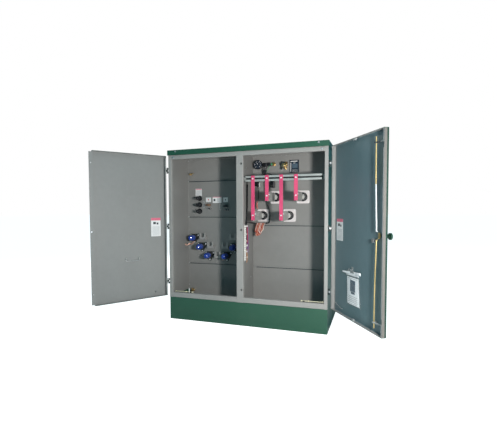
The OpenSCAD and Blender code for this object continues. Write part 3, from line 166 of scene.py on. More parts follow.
def surface(name, colour, rough=0.5, metal=0.0, vary=0.06, scale=3.0, peel=0.25, peel_scale=260.0,
            dirt=0.12, dirt_tint=(0.22, 0.20, 0.17), round_r=0.0018, wear=0.35, wear_tint=None, coat=0.0,
            brushed=None, inside=None, spec=0.5, marks=()):
    """A finished surface: two scales of colour change, dirt, worn edges, uneven gloss and a fine bump.
    inside is (colour, [(lo, hi, turn), ...]): the colour used inside those boxes. The marks are a colour, a
    strength and such boxes each, laid over it as painted shade and painted reflection."""
    t = Tree(name)
    broad = t.noise(scale, 4.0)
    fine = t.noise(scale * 14, 3.0)
    both = t.math("ADD", t.math("MULTIPLY", broad, 0.7), t.math("MULTIPLY", fine, 0.3))
    fac = t.span(both, 0.35, 0.65)
    col = t.mix(fac, shade(colour, 1 - vary), shade(colour, 1 + vary))
    if inside:
        other, boxes = inside
        mask = None
        for lo, hi, turn in boxes:
            one = t.in_box(lo, hi, turn)
            mask = one if mask is None else t.math("MAXIMUM", mask, one)
        col = t.mix(mask, col, t.mix(fac, shade(other, 1 - vary), shade(other, 1 + vary)))
    # Painted shade and painted reflection: each mark's colour replaces the surface colour inside its boxes.
    for paint, strength, boxes in marks:
        for lo, hi, turn in boxes:
            one = t.in_box(lo, hi, turn)
            col = t.mix(t.math("MULTIPLY", one, strength), col, paint)
    if dirt:
        grime = t.span(t.noise(scale * 2.3, 6.0, 0.7), 0.55, 0.8, 0.0, dirt)
        col = t.mix(grime, col, dirt_tint)
    bevel = t.n.new("ShaderNodeBevel")
    bevel.samples = 4
    bevel.inputs["Radius"].default_value = round_r
    if wear:
        geo = t.n.new("ShaderNodeNewGeometry")
        dot = t.n.new("ShaderNodeVectorMath")
        dot.operation = "DOT_PRODUCT"
        t.link(bevel.outputs[0], dot.inputs[0])
        t.link(geo.outputs["Normal"], dot.inputs[1])
        edge = t.span(dot.outputs["Value"], 0.97, 0.80)
        spots = t.span(t.noise(90, 4.0, 0.7), 0.42, 0.62)
        worn = t.math("MULTIPLY", t.math("MULTIPLY", edge, spots), wear)
        col = t.mix(worn, col, wear_tint or shade(colour, 1.6))
    t.link(col, t.bsdf.inputs["Base Color"])
    t.link(t.span(both, 0.3, 0.7, rough * 0.82, min(1, rough * 1.18)), t.bsdf.inputs["Roughness"])
    t.bsdf.inputs["Metallic"].default_value = metal
    t.bsdf.inputs["Coat Weight"].default_value = coat
    t.bsdf.inputs["Specular IOR Level"].default_value = spec
    bump = t.n.new("ShaderNodeBump")
    bump.inputs["Strength"].default_value = peel
    bump.inputs["Distance"].default_value = 0.0006
    if brushed:
        t.link(t.noise(peel_scale, 2.0, 0.6, t.stretch(*brushed)), bump.inputs["Height"])
    else:
        t.link(t.noise(peel_scale, 2.0), bump.inputs["Height"])
    t.link(bevel.outputs[0], bump.inputs["Normal"])
    t.link(bump.outputs[0], t.bsdf.inputs["Normal"])
    return t.mat


def door_inside(door, turn):
    """The low and high corner of a door pan, in closed coordinates."""
    inv = turn.inverted()
    pts = [inv @ v.co for v in NODES[door].data.vertices]
    lo = Vector([min(p[k] for p in pts) for k in range(3)])
    hi = Vector([max(p[k] for p in pts) for k in range(3)])
    return lo, hi


# ------------------------------------------------------------------ colours (linear)
GREEN = (0.017, 0.086, 0.050)
GREY = (0.245, 0.243, 0.232)
GREY_FRAME = (0.305, 0.300, 0.286)
GREY_DOOR = (0.245, 0.248, 0.240)
# Painted shade: the right door's inner skin is coloured darker and bluer than the left door's inside.
RIGHT_SKIN_PAINTED_SHADE = (0.108, 0.176, 0.196)
# A near-black used only as painted shade, in the rail's channel and on the upper latch guide.
PAINTED_SHADE_DARK = (0.010, 0.016, 0.018)
BLUE = (0.022, 0.060, 0.32)
PINK = (0.60, 0.062, 0.155)

# A little less than a sheet's thickness, and a step well past its edge.
SHEET = 0.0026
FAR = 0.01


def left_door_boxes():
    """The left door's grey inside and the inner face of its bolting strip."""
    strip_x = C(-39 - 2.6, 0, 0).x
    strip_y = C(0, -7, 0).y
    lo, hi = door_inside("left_door", LEFT)
    return [((lo.x + SHEET, lo.y + SHEET, lo.z + SHEET), (strip_x, hi.y + FAR, hi.z - SHEET), LEFT),
            ((C(-45, 0, 0).x, strip_y, lo.z), (hi.x + FAR, hi.y + FAR, hi.z), LEFT)]


def right_door_boxes():
    """The right door's inside and its painted shade: a darker, bluer inner skin, a darkened free edge and a
    darkened outer skin edge.
    """
    lip_y = 0.0165
    lo, hi = door_inside("right_door", RIGHT)
    inside = [((lo.x - FAR, lo.y + lip_y, lo.z + SHEET), (lo.x + FAR, hi.y + FAR, hi.z - SHEET), RIGHT),
              ((lo.x + SHEET, lo.y + SHEET, lo.z + SHEET), (hi.x - SHEET, hi.y + FAR, hi.z - SHEET), RIGHT)]
    # The next three lists are boxes of painted shade: the inner skin, the free edge and the outer skin's
    # edge.
    skin = [((lo.x + 0.008, lo.y + SHEET, lo.z + SHEET), (hi.x - 0.02, lo.y + 0.012, hi.z - SHEET), RIGHT)]
    free_edge_shade = [((lo.x - FAR, lo.y + lip_y, lo.z + SHEET), (lo.x + 0.004, hi.y + FAR, hi.z - SHEET), RIGHT)]
    edge = [((lo.x - FAR, lo.y - FAR, lo.z - FAR), (lo.x + 0.006, lo.y + lip_y, hi.z + FAR), RIGHT)]
    return inside, skin, free_edge_shade, edge


def roof_boxes():
    """The underside of the roof."""
    lo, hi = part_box("cabinet_roof")
    return [((lo.x + SHEET, lo.y + SHEET, lo.z - FAR), (hi.x - SHEET, hi.y - SHEET, hi.z - SHEET), None)]


def side_boxes():
    """The inner faces of the side sheets."""
    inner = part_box("cabinet_side_right")[1].x - SHEET
    return [((-inner, -2, 0), (inner, 0, 2), None)]


left_boxes = left_door_boxes()
right_boxes, right_skin_painted_shade, free_edge_painted_shade, outer_edge_painted_shade = right_door_boxes()
tank_front = [((-0.90, C(0, -20, 0).y, 0.02), (0.90, C(0, 503, 0).y, 1.90), None)]
# Painted shade: the inside of the support rail's channel is coloured near-black.
strut_inside_painted_shade = [(C(0, 91, 1523), C(800, 131, 1577), None)]
# Painted reflection: the lower half of the upper latch rod is coloured silver over its gold plating.
rod_reflection_box = [(C(-60, -60, 960), C(200, 10, 1420), RIGHT)]
# Painted shade: the upper latch-rod guide on the right door is coloured near-black.
upper_guide_painted_shade = [(C(40, -60, 1700), C(160, 10, 1780), RIGHT)]
# Painted shade: the back part of the terminal strip is coloured darker.
strip_back_painted_shade = [(C(-60, 164, 600), C(60, 300, 1100), None)]
EDGE = (0.30, 0.38, 0.33)
ROD_GOLD = (0.52, 0.40, 0.17)
# Painted shade: the right door's light grey free edge is coloured much darker than its paint.
FREE_EDGE_PAINTED_SHADE = (0.135, 0.128, 0.118)
# Painted shade: the right door's outer skin edge is coloured darker than the outside green.
OUTER_EDGE_PAINTED_SHADE = (0.008, 0.034, 0.022)
# Silver for the rod's painted reflection.
ROD_PAINTED_REFLECTION = (0.66, 0.70, 0.72)
# Colour of the terminal strip's painted shade.
STRIP_BACK_PAINTED_SHADE = (0.20, 0.16, 0.20)


def enamel(name, rough, **more):
    """The green paint of the outside."""
    return surface(name, GREEN, rough, wear_tint=EDGE, **more)


def print_ink(name, colour, rough, vary, scale=30, dirt=0.03):
    """A flat printed colour on a label."""
    return surface(name, colour, rough, scale=scale, vary=vary, dirt=dirt, peel=0.08, round_r=0.0003, wear=0)


def wire_skin(name, colour, rough=0.36):
    """Plastic wire insulation."""
    return surface(name, colour, rough, scale=40, vary=0.08, dirt=0.04, wear=0)


M = {
    "green": enamel("green_enamel", 0.42, scale=1.6, coat=0.15, dirt=0.05),
    "green_tank": enamel("green_enamel_tank", 0.46, scale=1.2, dirt=0.10, peel=0.35,
                         inside=(GREY, tank_front)),
    "green_roof": enamel("green_enamel_roof", 0.40, scale=1.6, coat=0.15, dirt=0.05,
                         inside=(GREY, roof_boxes())),
    "green_side": enamel("green_enamel_side", 0.42, scale=1.6, coat=0.15, dirt=0.05,
                         inside=(GREY, side_boxes())),
    "left_door": enamel("left_door_enamel", 0.52, scale=1.6, dirt=0.05, inside=(GREY_DOOR, left_boxes)),
    # The right door's marks are painted shade: a darker, bluer inner skin, a darkened free edge and a
    # darkened outer skin edge.
    "right_door": enamel("right_door_enamel_and_painted_shade", 0.42, scale=1.6, coat=0.1, dirt=0.05,
                         inside=(GREY_DOOR, right_boxes),
                         marks=[(RIGHT_SKIN_PAINTED_SHADE, 1.0, right_skin_painted_shade), (FREE_EDGE_PAINTED_SHADE, 1.0, free_edge_painted_shade),
                                (OUTER_EDGE_PAINTED_SHADE, 1.0, outer_edge_painted_shade)]),
    "green_dark": surface("green_handle", (0.012, 0.045, 0.028), 0.40, scale=8, coat=0.1, wear_tint=EDGE,
                          dirt=0.05),
    "grey": surface("grey_primer", GREY, 0.55, scale=2.0, dirt=0.08),
    "grey_frame": surface("grey_frame_enamel", GREY_FRAME, 0.45, scale=2.0, dirt=0.10,
                          wear_tint=(0.6, 0.62, 0.6)),
    "grey_channel": surface("grey_channel_enamel", (0.27, 0.29, 0.29), 0.45, scale=2.0, dirt=0.10),
    "dark": surface("dark_enamel", (0.018, 0.032, 0.030), 0.42, scale=6, wear_tint=(0.2, 0.22, 0.21)),
    # Near-black for the seams' gaps: painted shadow.
    "seam_painted_shadow": surface("seam_shadow", (0.030, 0.045, 0.050), 0.6, scale=6, vary=0.2, wear=0),
    "zinc": surface("zinc_plate", (0.55, 0.57, 0.58), 0.34, metal=0.9, scale=24, vary=0.12, peel=0.15,
                    wear=0.2),
    "zinc_bright": surface("bright_bolts", (0.86, 0.84, 0.84), 0.38, metal=0.3, scale=24, vary=0.08,
                           peel=0.12, wear=0.2),
    # Zinc, with the rail channel's inside painted near-black as painted shade.
    "zinc_and_painted_shade": surface("zinc_strut_and_painted_shade", (0.42, 0.45, 0.43), 0.42, metal=0.4, scale=9, vary=0.10,
                          brushed=(0.05, 1, 1), peel=0.3, wear=0.25, marks=[(PAINTED_SHADE_DARK, 0.92, strut_inside_painted_shade)]),
    # Zinc brackets, with the upper guide painted near-black as painted shade.
    "bracket_and_painted_shade": surface("bracket_zinc_and_painted_shade", (0.30, 0.33, 0.33), 0.42, metal=0.3, scale=14, vary=0.08, peel=0.2,
                       marks=[(PAINTED_SHADE_DARK, 0.85, upper_guide_painted_shade)]),
    "gold": surface("yellow_zinc", ROD_GOLD, 0.36, metal=0.55, scale=20, vary=0.08, peel=0.12,
                    wear_tint=(0.8, 0.72, 0.5)),
    # Gold plating, with a painted reflection in silver on the rod's lower half.
    "gold_and_painted_reflection": surface("rod_plating_and_painted_reflection", ROD_GOLD, 0.36, metal=0.45, scale=20, vary=0.08, peel=0.12,
                           marks=[(ROD_PAINTED_REFLECTION, 1.0, rod_reflection_box)]),
    "pale_gold": surface("stay_plating", (0.72, 0.68, 0.48), 0.36, metal=0.35, scale=20, vary=0.08,
                         peel=0.12),
    "brass": surface("brass", (0.70, 0.48, 0.20), 0.30, metal=0.95, scale=30, vary=0.14, peel=0.15),
    "copper": surface("bare_copper", (0.62, 0.30, 0.19), 0.34, metal=0.9, scale=30, vary=0.16, peel=0.2),
    "copper_braid": surface("copper_braid", (0.70, 0.44, 0.35), 0.40, metal=0.5, scale=60, vary=0.18,
                            peel=0.2, wear=0),
    "bar": surface("tinned_bar", (0.43, 0.43, 0.41), 0.46, metal=0.25, scale=12, vary=0.10,
                   brushed=(1, 0.06, 1), peel=0.3, wear=0.3),
    "black": surface("black_rubber", (0.012, 0.014, 0.017), 0.38, scale=16, vary=0.25, dirt=0.06, peel=0.2,
                     wear_tint=(0.08, 0.08, 0.09)),
    "glaze": surface("black_epoxy", (0.014, 0.015, 0.018), 0.18, scale=16, vary=0.2, dirt=0.04, peel=0.08,
                     coat=0.3),
    "blue": surface("blue_cap_plastic", BLUE, 0.28, scale=18, vary=0.12, dirt=0.03, peel=0.1, coat=0.2,
                    wear_tint=(0.15, 0.25, 0.6)),
    "pink": surface("pink_laminate", PINK, 0.46, scale=14, vary=0.07, dirt=0.05, peel=0.35, peel_scale=420,
                    brushed=(1, 1, 0.12), wear_tint=(0.95, 0.45, 0.55), wear=0.4),
    "cream": surface("cream_enamel", (0.74, 0.69, 0.68), 0.35, scale=12, vary=0.05, dirt=0.10,
                     wear_tint=(0.9, 0.88, 0.86)),
    "winding": surface("winding_paper", (0.44, 0.30, 0.16), 0.7, scale=6, vary=0.14, brushed=(0.1, 0.1, 3)),
    "core": surface("core_laminations", (0.08, 0.085, 0.09), 0.5, metal=0.6, scale=6, brushed=(4, 4, 0.1)),
    "white": surface("white_moulding", (0.72, 0.72, 0.68), 0.42, scale=20, vary=0.05, dirt=0.08),
    # White moulding, with its back part darkened as painted shade.
    "strip": surface("terminal_strip", (0.72, 0.72, 0.68), 0.42, scale=20, vary=0.05, dirt=0.08,
                     marks=[(STRIP_BACK_PAINTED_SHADE, 0.85, strip_back_painted_shade)]),
    "paper": print_ink("label_white", (0.80, 0.80, 0.79), 0.42, 0.03, dirt=0.06),
    "red": print_ink("label_red", (0.72, 0.06, 0.07), 0.40, 0.06),
    "pale_red": print_ink("label_pale_red", (0.74, 0.17, 0.25), 0.40, 0.06),
    "ink": print_ink("label_dark", (0.035, 0.04, 0.05), 0.45, 0.1),
    "ink_grey": print_ink("label_grey", (0.46, 0.47, 0.48), 0.45, 0.05),
    "ink_blue": print_ink("booklet_blue", (0.06, 0.10, 0.14), 0.4, 0.25, scale=40),
    "booklet": surface("booklet_white", (0.93, 0.95, 0.96), 0.45, scale=30, vary=0.03, dirt=0.04, peel=0.08,
                       wear=0),
    "film_white": surface("film_fold", (0.80, 0.83, 0.85), 0.25, scale=14, vary=0.08, peel=0.3, peel_scale=40,
                          wear=0),
    "film": surface("clear_film", (0.70, 0.72, 0.72), 0.14, scale=14, vary=0.08, peel=0.4, peel_scale=40,
                    wear=0),
    "plate": surface("nameplate_black", (0.018, 0.030, 0.050), 0.30, metal=0.4, scale=18, vary=0.12,
                     peel=0.1),
    "salmon": wire_skin("wire_salmon", (0.72, 0.30, 0.20), 0.38),
    "wire_red": wire_skin("wire_red", (0.42, 0.03, 0.02)),
    "wire_pale": wire_skin("wire_pale", (0.75, 0.62, 0.55)),
    "wire_purple": wire_skin("wire_purple", (0.22, 0.06, 0.26)),
    "wire_gold": wire_skin("wire_orange", (0.60, 0.27, 0.10)),
    "plug_green": surface("plug_green", (0.03, 0.27, 0.10), 0.36, scale=20, vary=0.1,
                          wear_tint=(0.5, 0.45, 0.2)),
}

FILM_ALPHA = 0.12
M["film"].node_tree.nodes["Principled BSDF"].inputs["Alpha"].default_value = FILM_ALPHA

LOOKS = {
    "green": "base_sill tank_cover cooling_panels",
    "green_tank": "tank_body",
    "green_roof": "cabinet_roof",
    "green_side": "cabinet_side_left cabinet_side_right",
    "left_door": "left_door",
    "right_door": "right_door",
    "green_dark": "latch_handle",
    "grey": "compartment_barrier switch_plates",
    "grey_frame": "door_frame parking_stands",
    "grey_channel": "right_door_channel",
    "dark": "frame_hinges left_door_hinges hv_clamp_plates core_clamps",
    "zinc": "cabinet_bolts right_door_hinges left_door_bail captive_bolt_upper captive_bolt_lower "
            "security_bolt relief_ring",
    "zinc_bright": "bushing_fasteners",
    "zinc_and_painted_shade": "support_rail",
    "bracket_and_painted_shade": "door_brackets",
    "gold": "latch_cam latch_rod_lower",
    "gold_and_painted_reflection": "latch_rod_upper",
    "pale_gold": "stay_rod_left stay_rod_right",
    "brass": "wall_fittings drain_valve drain_handle relief_valve",
    "copper": "inner_leads earth_strap switch_handle_1",
    "bar": "lv_spades",
    "black": "stay_clips fuse_housings fuse_puller_1 fuse_puller_2 fuse_puller_3 switch_handle_2 dial_gauge "
             "wiring_harness",
    "glaze": "hv_bushings lv_insulators",
    "blue": "hv_caps",
    "pink": "support_straps",
    "cream": "lv_flange_plates",
    "winding": "coils",
    "core": "core",
    "white": "instruction_bag",
    "strip": "terminal_strip",
    "plate": "nameplate",
}
for look, names in LOOKS.items():
    for name in names.split():
        data = NODES[name].data
        if not data.materials:
            data.materials.append(M[look])
        for k in range(len(data.materials)):
            data.materials[k] = M[look]


# ------------------------------------------------------------------ mesh helpers
def add(name, bm, mats, body, smooth=False, turn=STILL):
    bmesh.ops.remove_doubles(bm, verts=bm.verts, dist=1e-7)
    bmesh.ops.recalc_face_normals(bm, faces=bm.faces)
    bm.transform(turn)
    mesh = bpy.data.meshes.new(name)
    bm.to_mesh(mesh)
    bm.free()
    for m in mats if isinstance(mats, (list, tuple)) else [mats]:
        mesh.materials.append(M[m])
    if smooth:
        for p in mesh.polygons:
            p.use_smooth = True
    o = bpy.data.objects.new(name, mesh)
    bpy.context.scene.collection.objects.link(o)
    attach(o, body)
    return o


def spline(points, n=6):
    """Catmull-Rom points through a list."""
    p = [Vector(q) for q in points]
    out = []
    for i in range(len(p) - 1):
        a, b, c, d = p[max(i - 1, 0)], p[i], p[i + 1], p[min(i + 2, len(p) - 1)]
        for k in range(n):
            s = k / n
            square = (2 * a - 5 * b + 4 * c - d) * s * s
            cube = (3 * b - a - 3 * c + d) * s ** 3
            out.append(0.5 * (2 * b + (c - a) * s + square + cube))
    out.append(p[-1])
    return out


def ring_points(centre, a, b, radius, sides):
    """Points of a circle about a centre, in the plane of a and b."""
    turns = [2 * math.pi * k / sides for k in range(sides)]
    return [centre + radius * (math.cos(t) * a + math.sin(t) * b) for t in turns]


def tube(bm, path, radius, sides=12, mat=0, caps=True):
    """Sweeps a circle along a path; radius is a number or a function of 0 to 1."""
    rings = []
    side = None
    for i, p in enumerate(path):
        t = (path[min(i + 1, len(path) - 1)] - path[max(i - 1, 0)]).normalized()
        if side is None:
            side = t.cross(Vector((0.3, 0.5, 0.8))).normalized()
        side = (side - t * side.dot(t)).normalized()
        up = t.cross(side)
        r = radius(i / (len(path) - 1)) if callable(radius) else radius
        rings.append([bm.verts.new(q) for q in ring_points(p, side, up, r, sides)])
    for a, b in zip(rings, rings[1:]):
        for k in range(sides):
            f = bm.faces.new((a[k], a[(k + 1) % sides], b[(k + 1) % sides], b[k]))
            f.material_index = mat
    if caps:
        for ring in (rings[0][::-1], rings[-1]):
            bm.faces.new(ring).material_index = mat


def block(bm, lo, hi, mat=0, bevel=0.0, segs=2):
    """A box with rounded edges."""
    made = bmesh.ops.create_cube(bm, size=1.0)["verts"]
    mid, size = (Vector(lo) + Vector(hi)) / 2, Vector(hi) - Vector(lo)
    for v in made:
        v.co = mid + Vector((v.co.x * size.x, v.co.y * size.y, v.co.z * size.z))
    faces = {f for v in made for f in v.link_faces}
    for f in faces:
        f.material_index = mat
    if bevel:
        edges = {e for f in faces for e in f.edges}
        out = bmesh.ops.bevel(bm, geom=list(edges), offset=bevel, segments=segs, profile=0.5, affect="EDGES")
        for f in out["faces"]:
            f.material_index = mat


def lathe(bm, profile, origin, axis, sides=32, mat=0):
    """Turns (radius, distance) pairs about an axis; both ends close on the axis if their radius is 0."""
    axis = Vector(axis).normalized()
    a = axis.orthogonal().normalized()
    b = axis.cross(a)
    rings = []
    for r, d in profile:
        if r < 1e-6:
            rings.append([bm.verts.new(Vector(origin) + axis * d)])
        else:
            rings.append([bm.verts.new(q) for q in ring_points(Vector(origin) + axis * d, a, b, r, sides)])
    for p, q in zip(rings, rings[1:]):
        for k in range(sides):
            j = (k + 1) % sides
            if len(p) == 1 and len(q) == 1:
                continue
            if len(p) == 1:
                f = bm.faces.new((p[0], q[j], q[k]))
            elif len(q) == 1:
                f = bm.faces.new((p[k], p[j], q[0]))
            else:
                f = bm.faces.new((p[k], p[j], q[j], q[k]))
            f.material_index = mat


# ------------------------------------------------------------------ labels
def label(name, body, turn, corner, u, v, w, h, cells, thick=0.7, base="paper"):
    """A sticker w by h mm with rounded corners. corner is its low corner, u and v its directions, and cells
    are (u0, v0, u1, v1, material) blocks printed on it, in parts of its width and height."""
    mats = [base] + sorted({c[4] for c in cells} - {base})
    u, v = Vector(u), Vector(v)
    n = u.cross(v)
    bm = bmesh.new()
    r = 3.0
    ring = []
    for cx, cy, a0 in ((w - r, h - r, 0), (r, h - r, 90), (r, r, 180), (w - r, r, 270)):
        for k in range(5):
            a = math.radians(a0 + k * 22.5)
            ring.append((cx + r * math.cos(a), cy + r * math.sin(a)))
    low = [bm.verts.new(corner + (u * x + v * y) / 1000) for x, y in ring]
    top = [bm.verts.new(corner + (u * x + v * y + n * thick) / 1000) for x, y in ring]
    bm.faces.new(low[::-1])
    bm.faces.new(top)
    for k in range(len(ring)):
        j = (k + 1) % len(ring)
        bm.faces.new((low[k], low[j], top[j], top[k]))
    for u0, v0, u1, v1, m in cells:
        a = corner + (u * w * u0 + v * h * v0 + n * (thick - 0.2)) / 1000
        quad = []
        for z in (0, 0.32):
            quad.append([a + (u * x + v * y + n * z) / 1000 for x, y in
                         ((0, 0), (w * (u1 - u0), 0), (w * (u1 - u0), h * (v1 - v0)), (0, h * (v1 - v0)))])
        vs = [[bm.verts.new(p) for p in q] for q in quad]
        walls = [(vs[0][k], vs[0][(k + 1) % 4], vs[1][(k + 1) % 4], vs[1][k]) for k in range(4)]
        for f in [vs[0][::-1], vs[1]] + walls:
            bm.faces.new(f).material_index = mats.index(m)
    return add(name, bm, mats, body, turn=turn)


def rows(x0, x1, y0, y1, count, m, fill=0.55):
    """Even plain bars in part of a label."""
    step = (y1 - y0) / count
    return [(x0, y0 + k * step, x1, y0 + (k + fill) * step, m) for k in range(count)]


X, Z = (1, 0, 0), (0, 0, 1)
WALL = 499.6
label("label_fuses", "unit", STILL, C(-761, WALL, 1391), X, Z, 83, 90,
      [(0.04, 0.88, 0.96, 0.97, "pale_red"), *rows(0.10, 0.90, 0.08, 0.82, 6, "ink_grey", 0.35)])
label("label_switch_1", "unit", STILL, C(-625, WALL, 1317), X, Z, 68, 56,
      [(0.42, 0.36, 0.58, 0.64, "red"), (0.06, 0.88, 0.94, 0.95, "ink_grey")])
label("label_switches", "unit", STILL, C(-536, WALL, 1306), X, Z, 114, 73,
      [(0.02, 0.90, 0.98, 0.98, "pale_red"), (0.10, 0.30, 0.30, 0.66, "ink"),
       *rows(0.50, 0.94, 0.12, 0.82, 5, "ink_grey", 0.4)])
label("label_switch_2", "unit", STILL, C(-400, WALL, 1314), X, Z, 58, 56,
      [(0.36, 0.30, 0.64, 0.72, "ink_grey"), (0.42, 0.40, 0.58, 0.62, "ink")])
label("mark_switch_1", "unit", STILL, C(-660, WALL, 1246), X, Z, 14, 85, [(0.2, 0.04, 0.8, 0.96, "ink")])
label("mark_switch_2", "unit", STILL, C(-445, WALL, 1221), X, Z, 14, 72, [(0.2, 0.04, 0.8, 0.96, "ink")])
INNER = -42.0 + 0.3
warn = [(0.0, 0.86, 1.0, 1.0, "pale_red"), (0.22, 0.66, 0.50, 0.78, "ink"), (0.58, 0.64, 0.76, 0.74, "ink"),
        *rows(0.12, 0.88, 0.06, 0.56, 9, "ink_grey", 0.35)]
label("label_left_door", "left_door_body", LEFT, C(-691, INNER, 935), (-1, 0, 0), Z, 118, 205, warn)
label("label_right_door", "right_door_body", RIGHT, C(825, INNER, 934), (-1, 0, 0), Z, 127, 203, warn)

# ------------------------------------------------------------------ compartment wall
INTO_WALL = (0, 1, 0)
OUT_OF_WALL = (0, -1, 0)


def route(*points):
    """Cabinet points in mm as places in metres."""
    return [C(*p) for p in points]


def turned(bm, pairs, origin, axis, sides=32, mat=0):
    """A lathe whose (radius, distance) pairs are in mm."""
    lathe(bm, [(r / 1000, d / 1000) for r, d in pairs], origin, axis, sides, mat)


def wall_seams():
    """Lapped seams across the tank's front wall: a lip in the lighter frame grey as a painted highlight, over
    a near-black strip as the gap's painted shadow.
    """
    lip_out, lip_h = 7, 4.5
    gap_out, gap_h = 2, 9
    left, right = (-857, -69), (8, 857)
    bm = bmesh.new()
    for (x0, x1), z in ((left, 1573), (left, 1140), (left, 572), (right, 1045), (right, 562)):
        # The lip is drawn in the lighter frame grey: painted highlight.
        block(bm, C(x0, WALL - lip_out, z), C(x1, WALL, z + lip_h), 0, 0.0014)
        # The strip under it is near-black: the gap's painted shadow.
        block(bm, C(x0, WALL - gap_out, z - gap_h), C(x1, WALL, z), 1, 0.0008)
    add("wall_seams", bm, ["grey_frame", "seam_painted_shadow"], "unit")


def cap_cuffs():
    """Black cuffs round the wall end of the six caps."""
    cap_base = 481
    cuff = ((36, 1), (44.5, 1), (44.8, 10), (44, 25), (39.2, 36), (38.2, 50), (36, 52), (36, 1))
    bm = bmesh.new()
    for x, z in ((-773, 886), (-673, 782), (-573, 678), (-351, 678), (-251, 782), (-151, 886)):
        turned(bm, cuff, C(x, cap_base, z), OUT_OF_WALL, 40)
    add("cap_cuffs", bm, "black", "unit")


def post_grommets():
    """Rubber rings round the captive bolts' holes in the centre post."""
    captive_x = -13.5
    ring = ((6.8, 4), (6.8, -1.4), (9.6, -1.4), (10.4, -0.6), (10.4, 0), (6.8, 4))
    bm = bmesh.new()
    for z in (1703, 1014.5, 382):
        turned(bm, ring, C(captive_x, 0, z), INTO_WALL, 24)
    add("post_grommets", bm, "black", "unit")


def switch_stops():
    """The bolted stop block under each switch handle."""
    half_w, half_h, stud_x = 24, 6, 15
    stud = ((0, -19.5), (3.5, -19.5), (5, -18), (5, -15.5), (0, -15.5))
    bm = bmesh.new()
    for x, z in ((-577, 1238), (-356, 1223)):
        block(bm, C(x - half_w, WALL - 16, z - half_h), C(x + half_w, WALL - 3.2, z + half_h), 0, 0.002)
        for s in (-1, 1):
            turned(bm, stud, C(x + s * stud_x, WALL, z), INTO_WALL, 16, 1)
    add("switch_stops", bm, ["black", "zinc"], "unit")


wall_seams()
cap_cuffs()
post_grommets()
switch_stops()


# ------------------------------------------------------------------ gauge, plate and relief valve
def gauge_tick(bm, centre, angle, inner, outer, wide, tall=0.0004):
    """One raised radial mark on the dial."""
    along = Vector((math.cos(angle), 0, math.sin(angle)))
    across = Vector((-math.sin(angle), 0, math.cos(angle)))
    corners = ((inner, -wide / 2), (outer, -wide / 2), (outer, wide / 2), (inner, wide / 2))
    pts = [centre + along * r + across * s for r, s in corners]
    low = [bm.verts.new(q) for q in pts]
    top = [bm.verts.new(q + Vector((0, -tall, 0))) for q in pts]
    walls = [(low[j], low[(j + 1) % 4], top[(j + 1) % 4], top[j]) for j in range(4)]
    for f in [low[::-1], top] + walls:
        bm.faces.new(f).material_index = 2


def gauge_face():
    """Dial, bezel, eleven ticks, pointer and its hub."""
    x, z = 38, 1733
    ticks, sweep_from, tick_step = 11, 225, 27
    bm = bmesh.new()
    turned(bm, ((0, -0.6), (46, -0.6), (47, 0), (0, 0)), C(x, 453.9, z), INTO_WALL, 48, 0)
    bezel = ((46, -0.6), (47.5, -3), (52.5, -3), (53.2, -1), (53.2, 0), (46, 0))
    turned(bm, bezel, C(x, 454, z), INTO_WALL, 48, 1)
    for k in range(ticks):
        wide, inner = (0.0032, 0.027) if k % 2 == 0 else (0.0018, 0.033)
        gauge_tick(bm, C(x, 453.1, z), math.radians(sweep_from - tick_step * k), inner, 0.043, wide)
    pointer = route((x, 452.2, z), (x - 8, 452.2, z + 16), (x - 17, 452.2, z + 33))
    tube(bm, pointer, lambda s: 0.0034 - 0.0022 * s, 8, 2)
    turned(bm, ((0, -4), (5, -4), (6, -2), (6, 0), (0, 0)), C(x, 453, z), INTO_WALL, 20, 3)
    add("gauge_face", bm, ["plate", "black", "paper", "ink"], "unit")


def relief_lever():
    """The dark lever and the brass outlet of the pressure relief valve."""
    lever = route((342, 466, 1740), (326, 452, 1746), (313, 446, 1728), (322, 446, 1706), (318, 450, 1684),
                  (308, 456, 1672))
    outlet = route((352, 462, 1744), (372, 452, 1738), (368, 446, 1716), (352, 446, 1702), (356, 448, 1680),
                   (366, 452, 1668))
    bm = bmesh.new()
    tube(bm, spline(lever, 6), lambda s: 0.0125 - 0.006 * s, 12, 0)
    tube(bm, spline(outlet, 6), lambda s: 0.0105 - 0.003 * s, 12, 1)
    add("relief_lever", bm, ["dark", "brass"], "unit", smooth=True)


gauge_face()
label("nameplate_fields", "unit", STILL, C(445 - 49, 491.9, 1702 - 66), X, Z, 98, 132,
      [(0.10, 0.88, 0.86, 0.95, "paper"), (0.05, 0.06, 0.16, 0.80, "ink_grey"),
       (0.26, 0.34, 0.88, 0.72, "ink_blue"), (0.40, 0.74, 0.62, 0.80, "ink_grey"),
       *rows(0.26, 0.90, 0.05, 0.28, 3, "ink_grey", 0.25)], base="plate")
relief_lever()

# ------------------------------------------------------------------ wiring
WIRES = ["black", "wire_red", "salmon", "wire_pale", "wire_purple", "wire_gold", "plug_green", "white"]
MAIN_LOOM = ((104, 450, 1733), (112, 446, 1730), (120, 440, 1700), (124, 440, 1660), (126, 440, 1620),
             (128, 446, 1560), (130, 450, 1480), (150, 450, 1300), (168, 450, 1240), (176, 452, 1200),
             (178, 452, 1120), (166, 452, 1074), (100, 452, 1068), (30, 448, 1066), (-8, 420, 1072),
             (-20, 330, 1080), (-20, 250, 1084), (-20, 212, 1082), (-20, 200, 1070), (-20, 200, 1054))
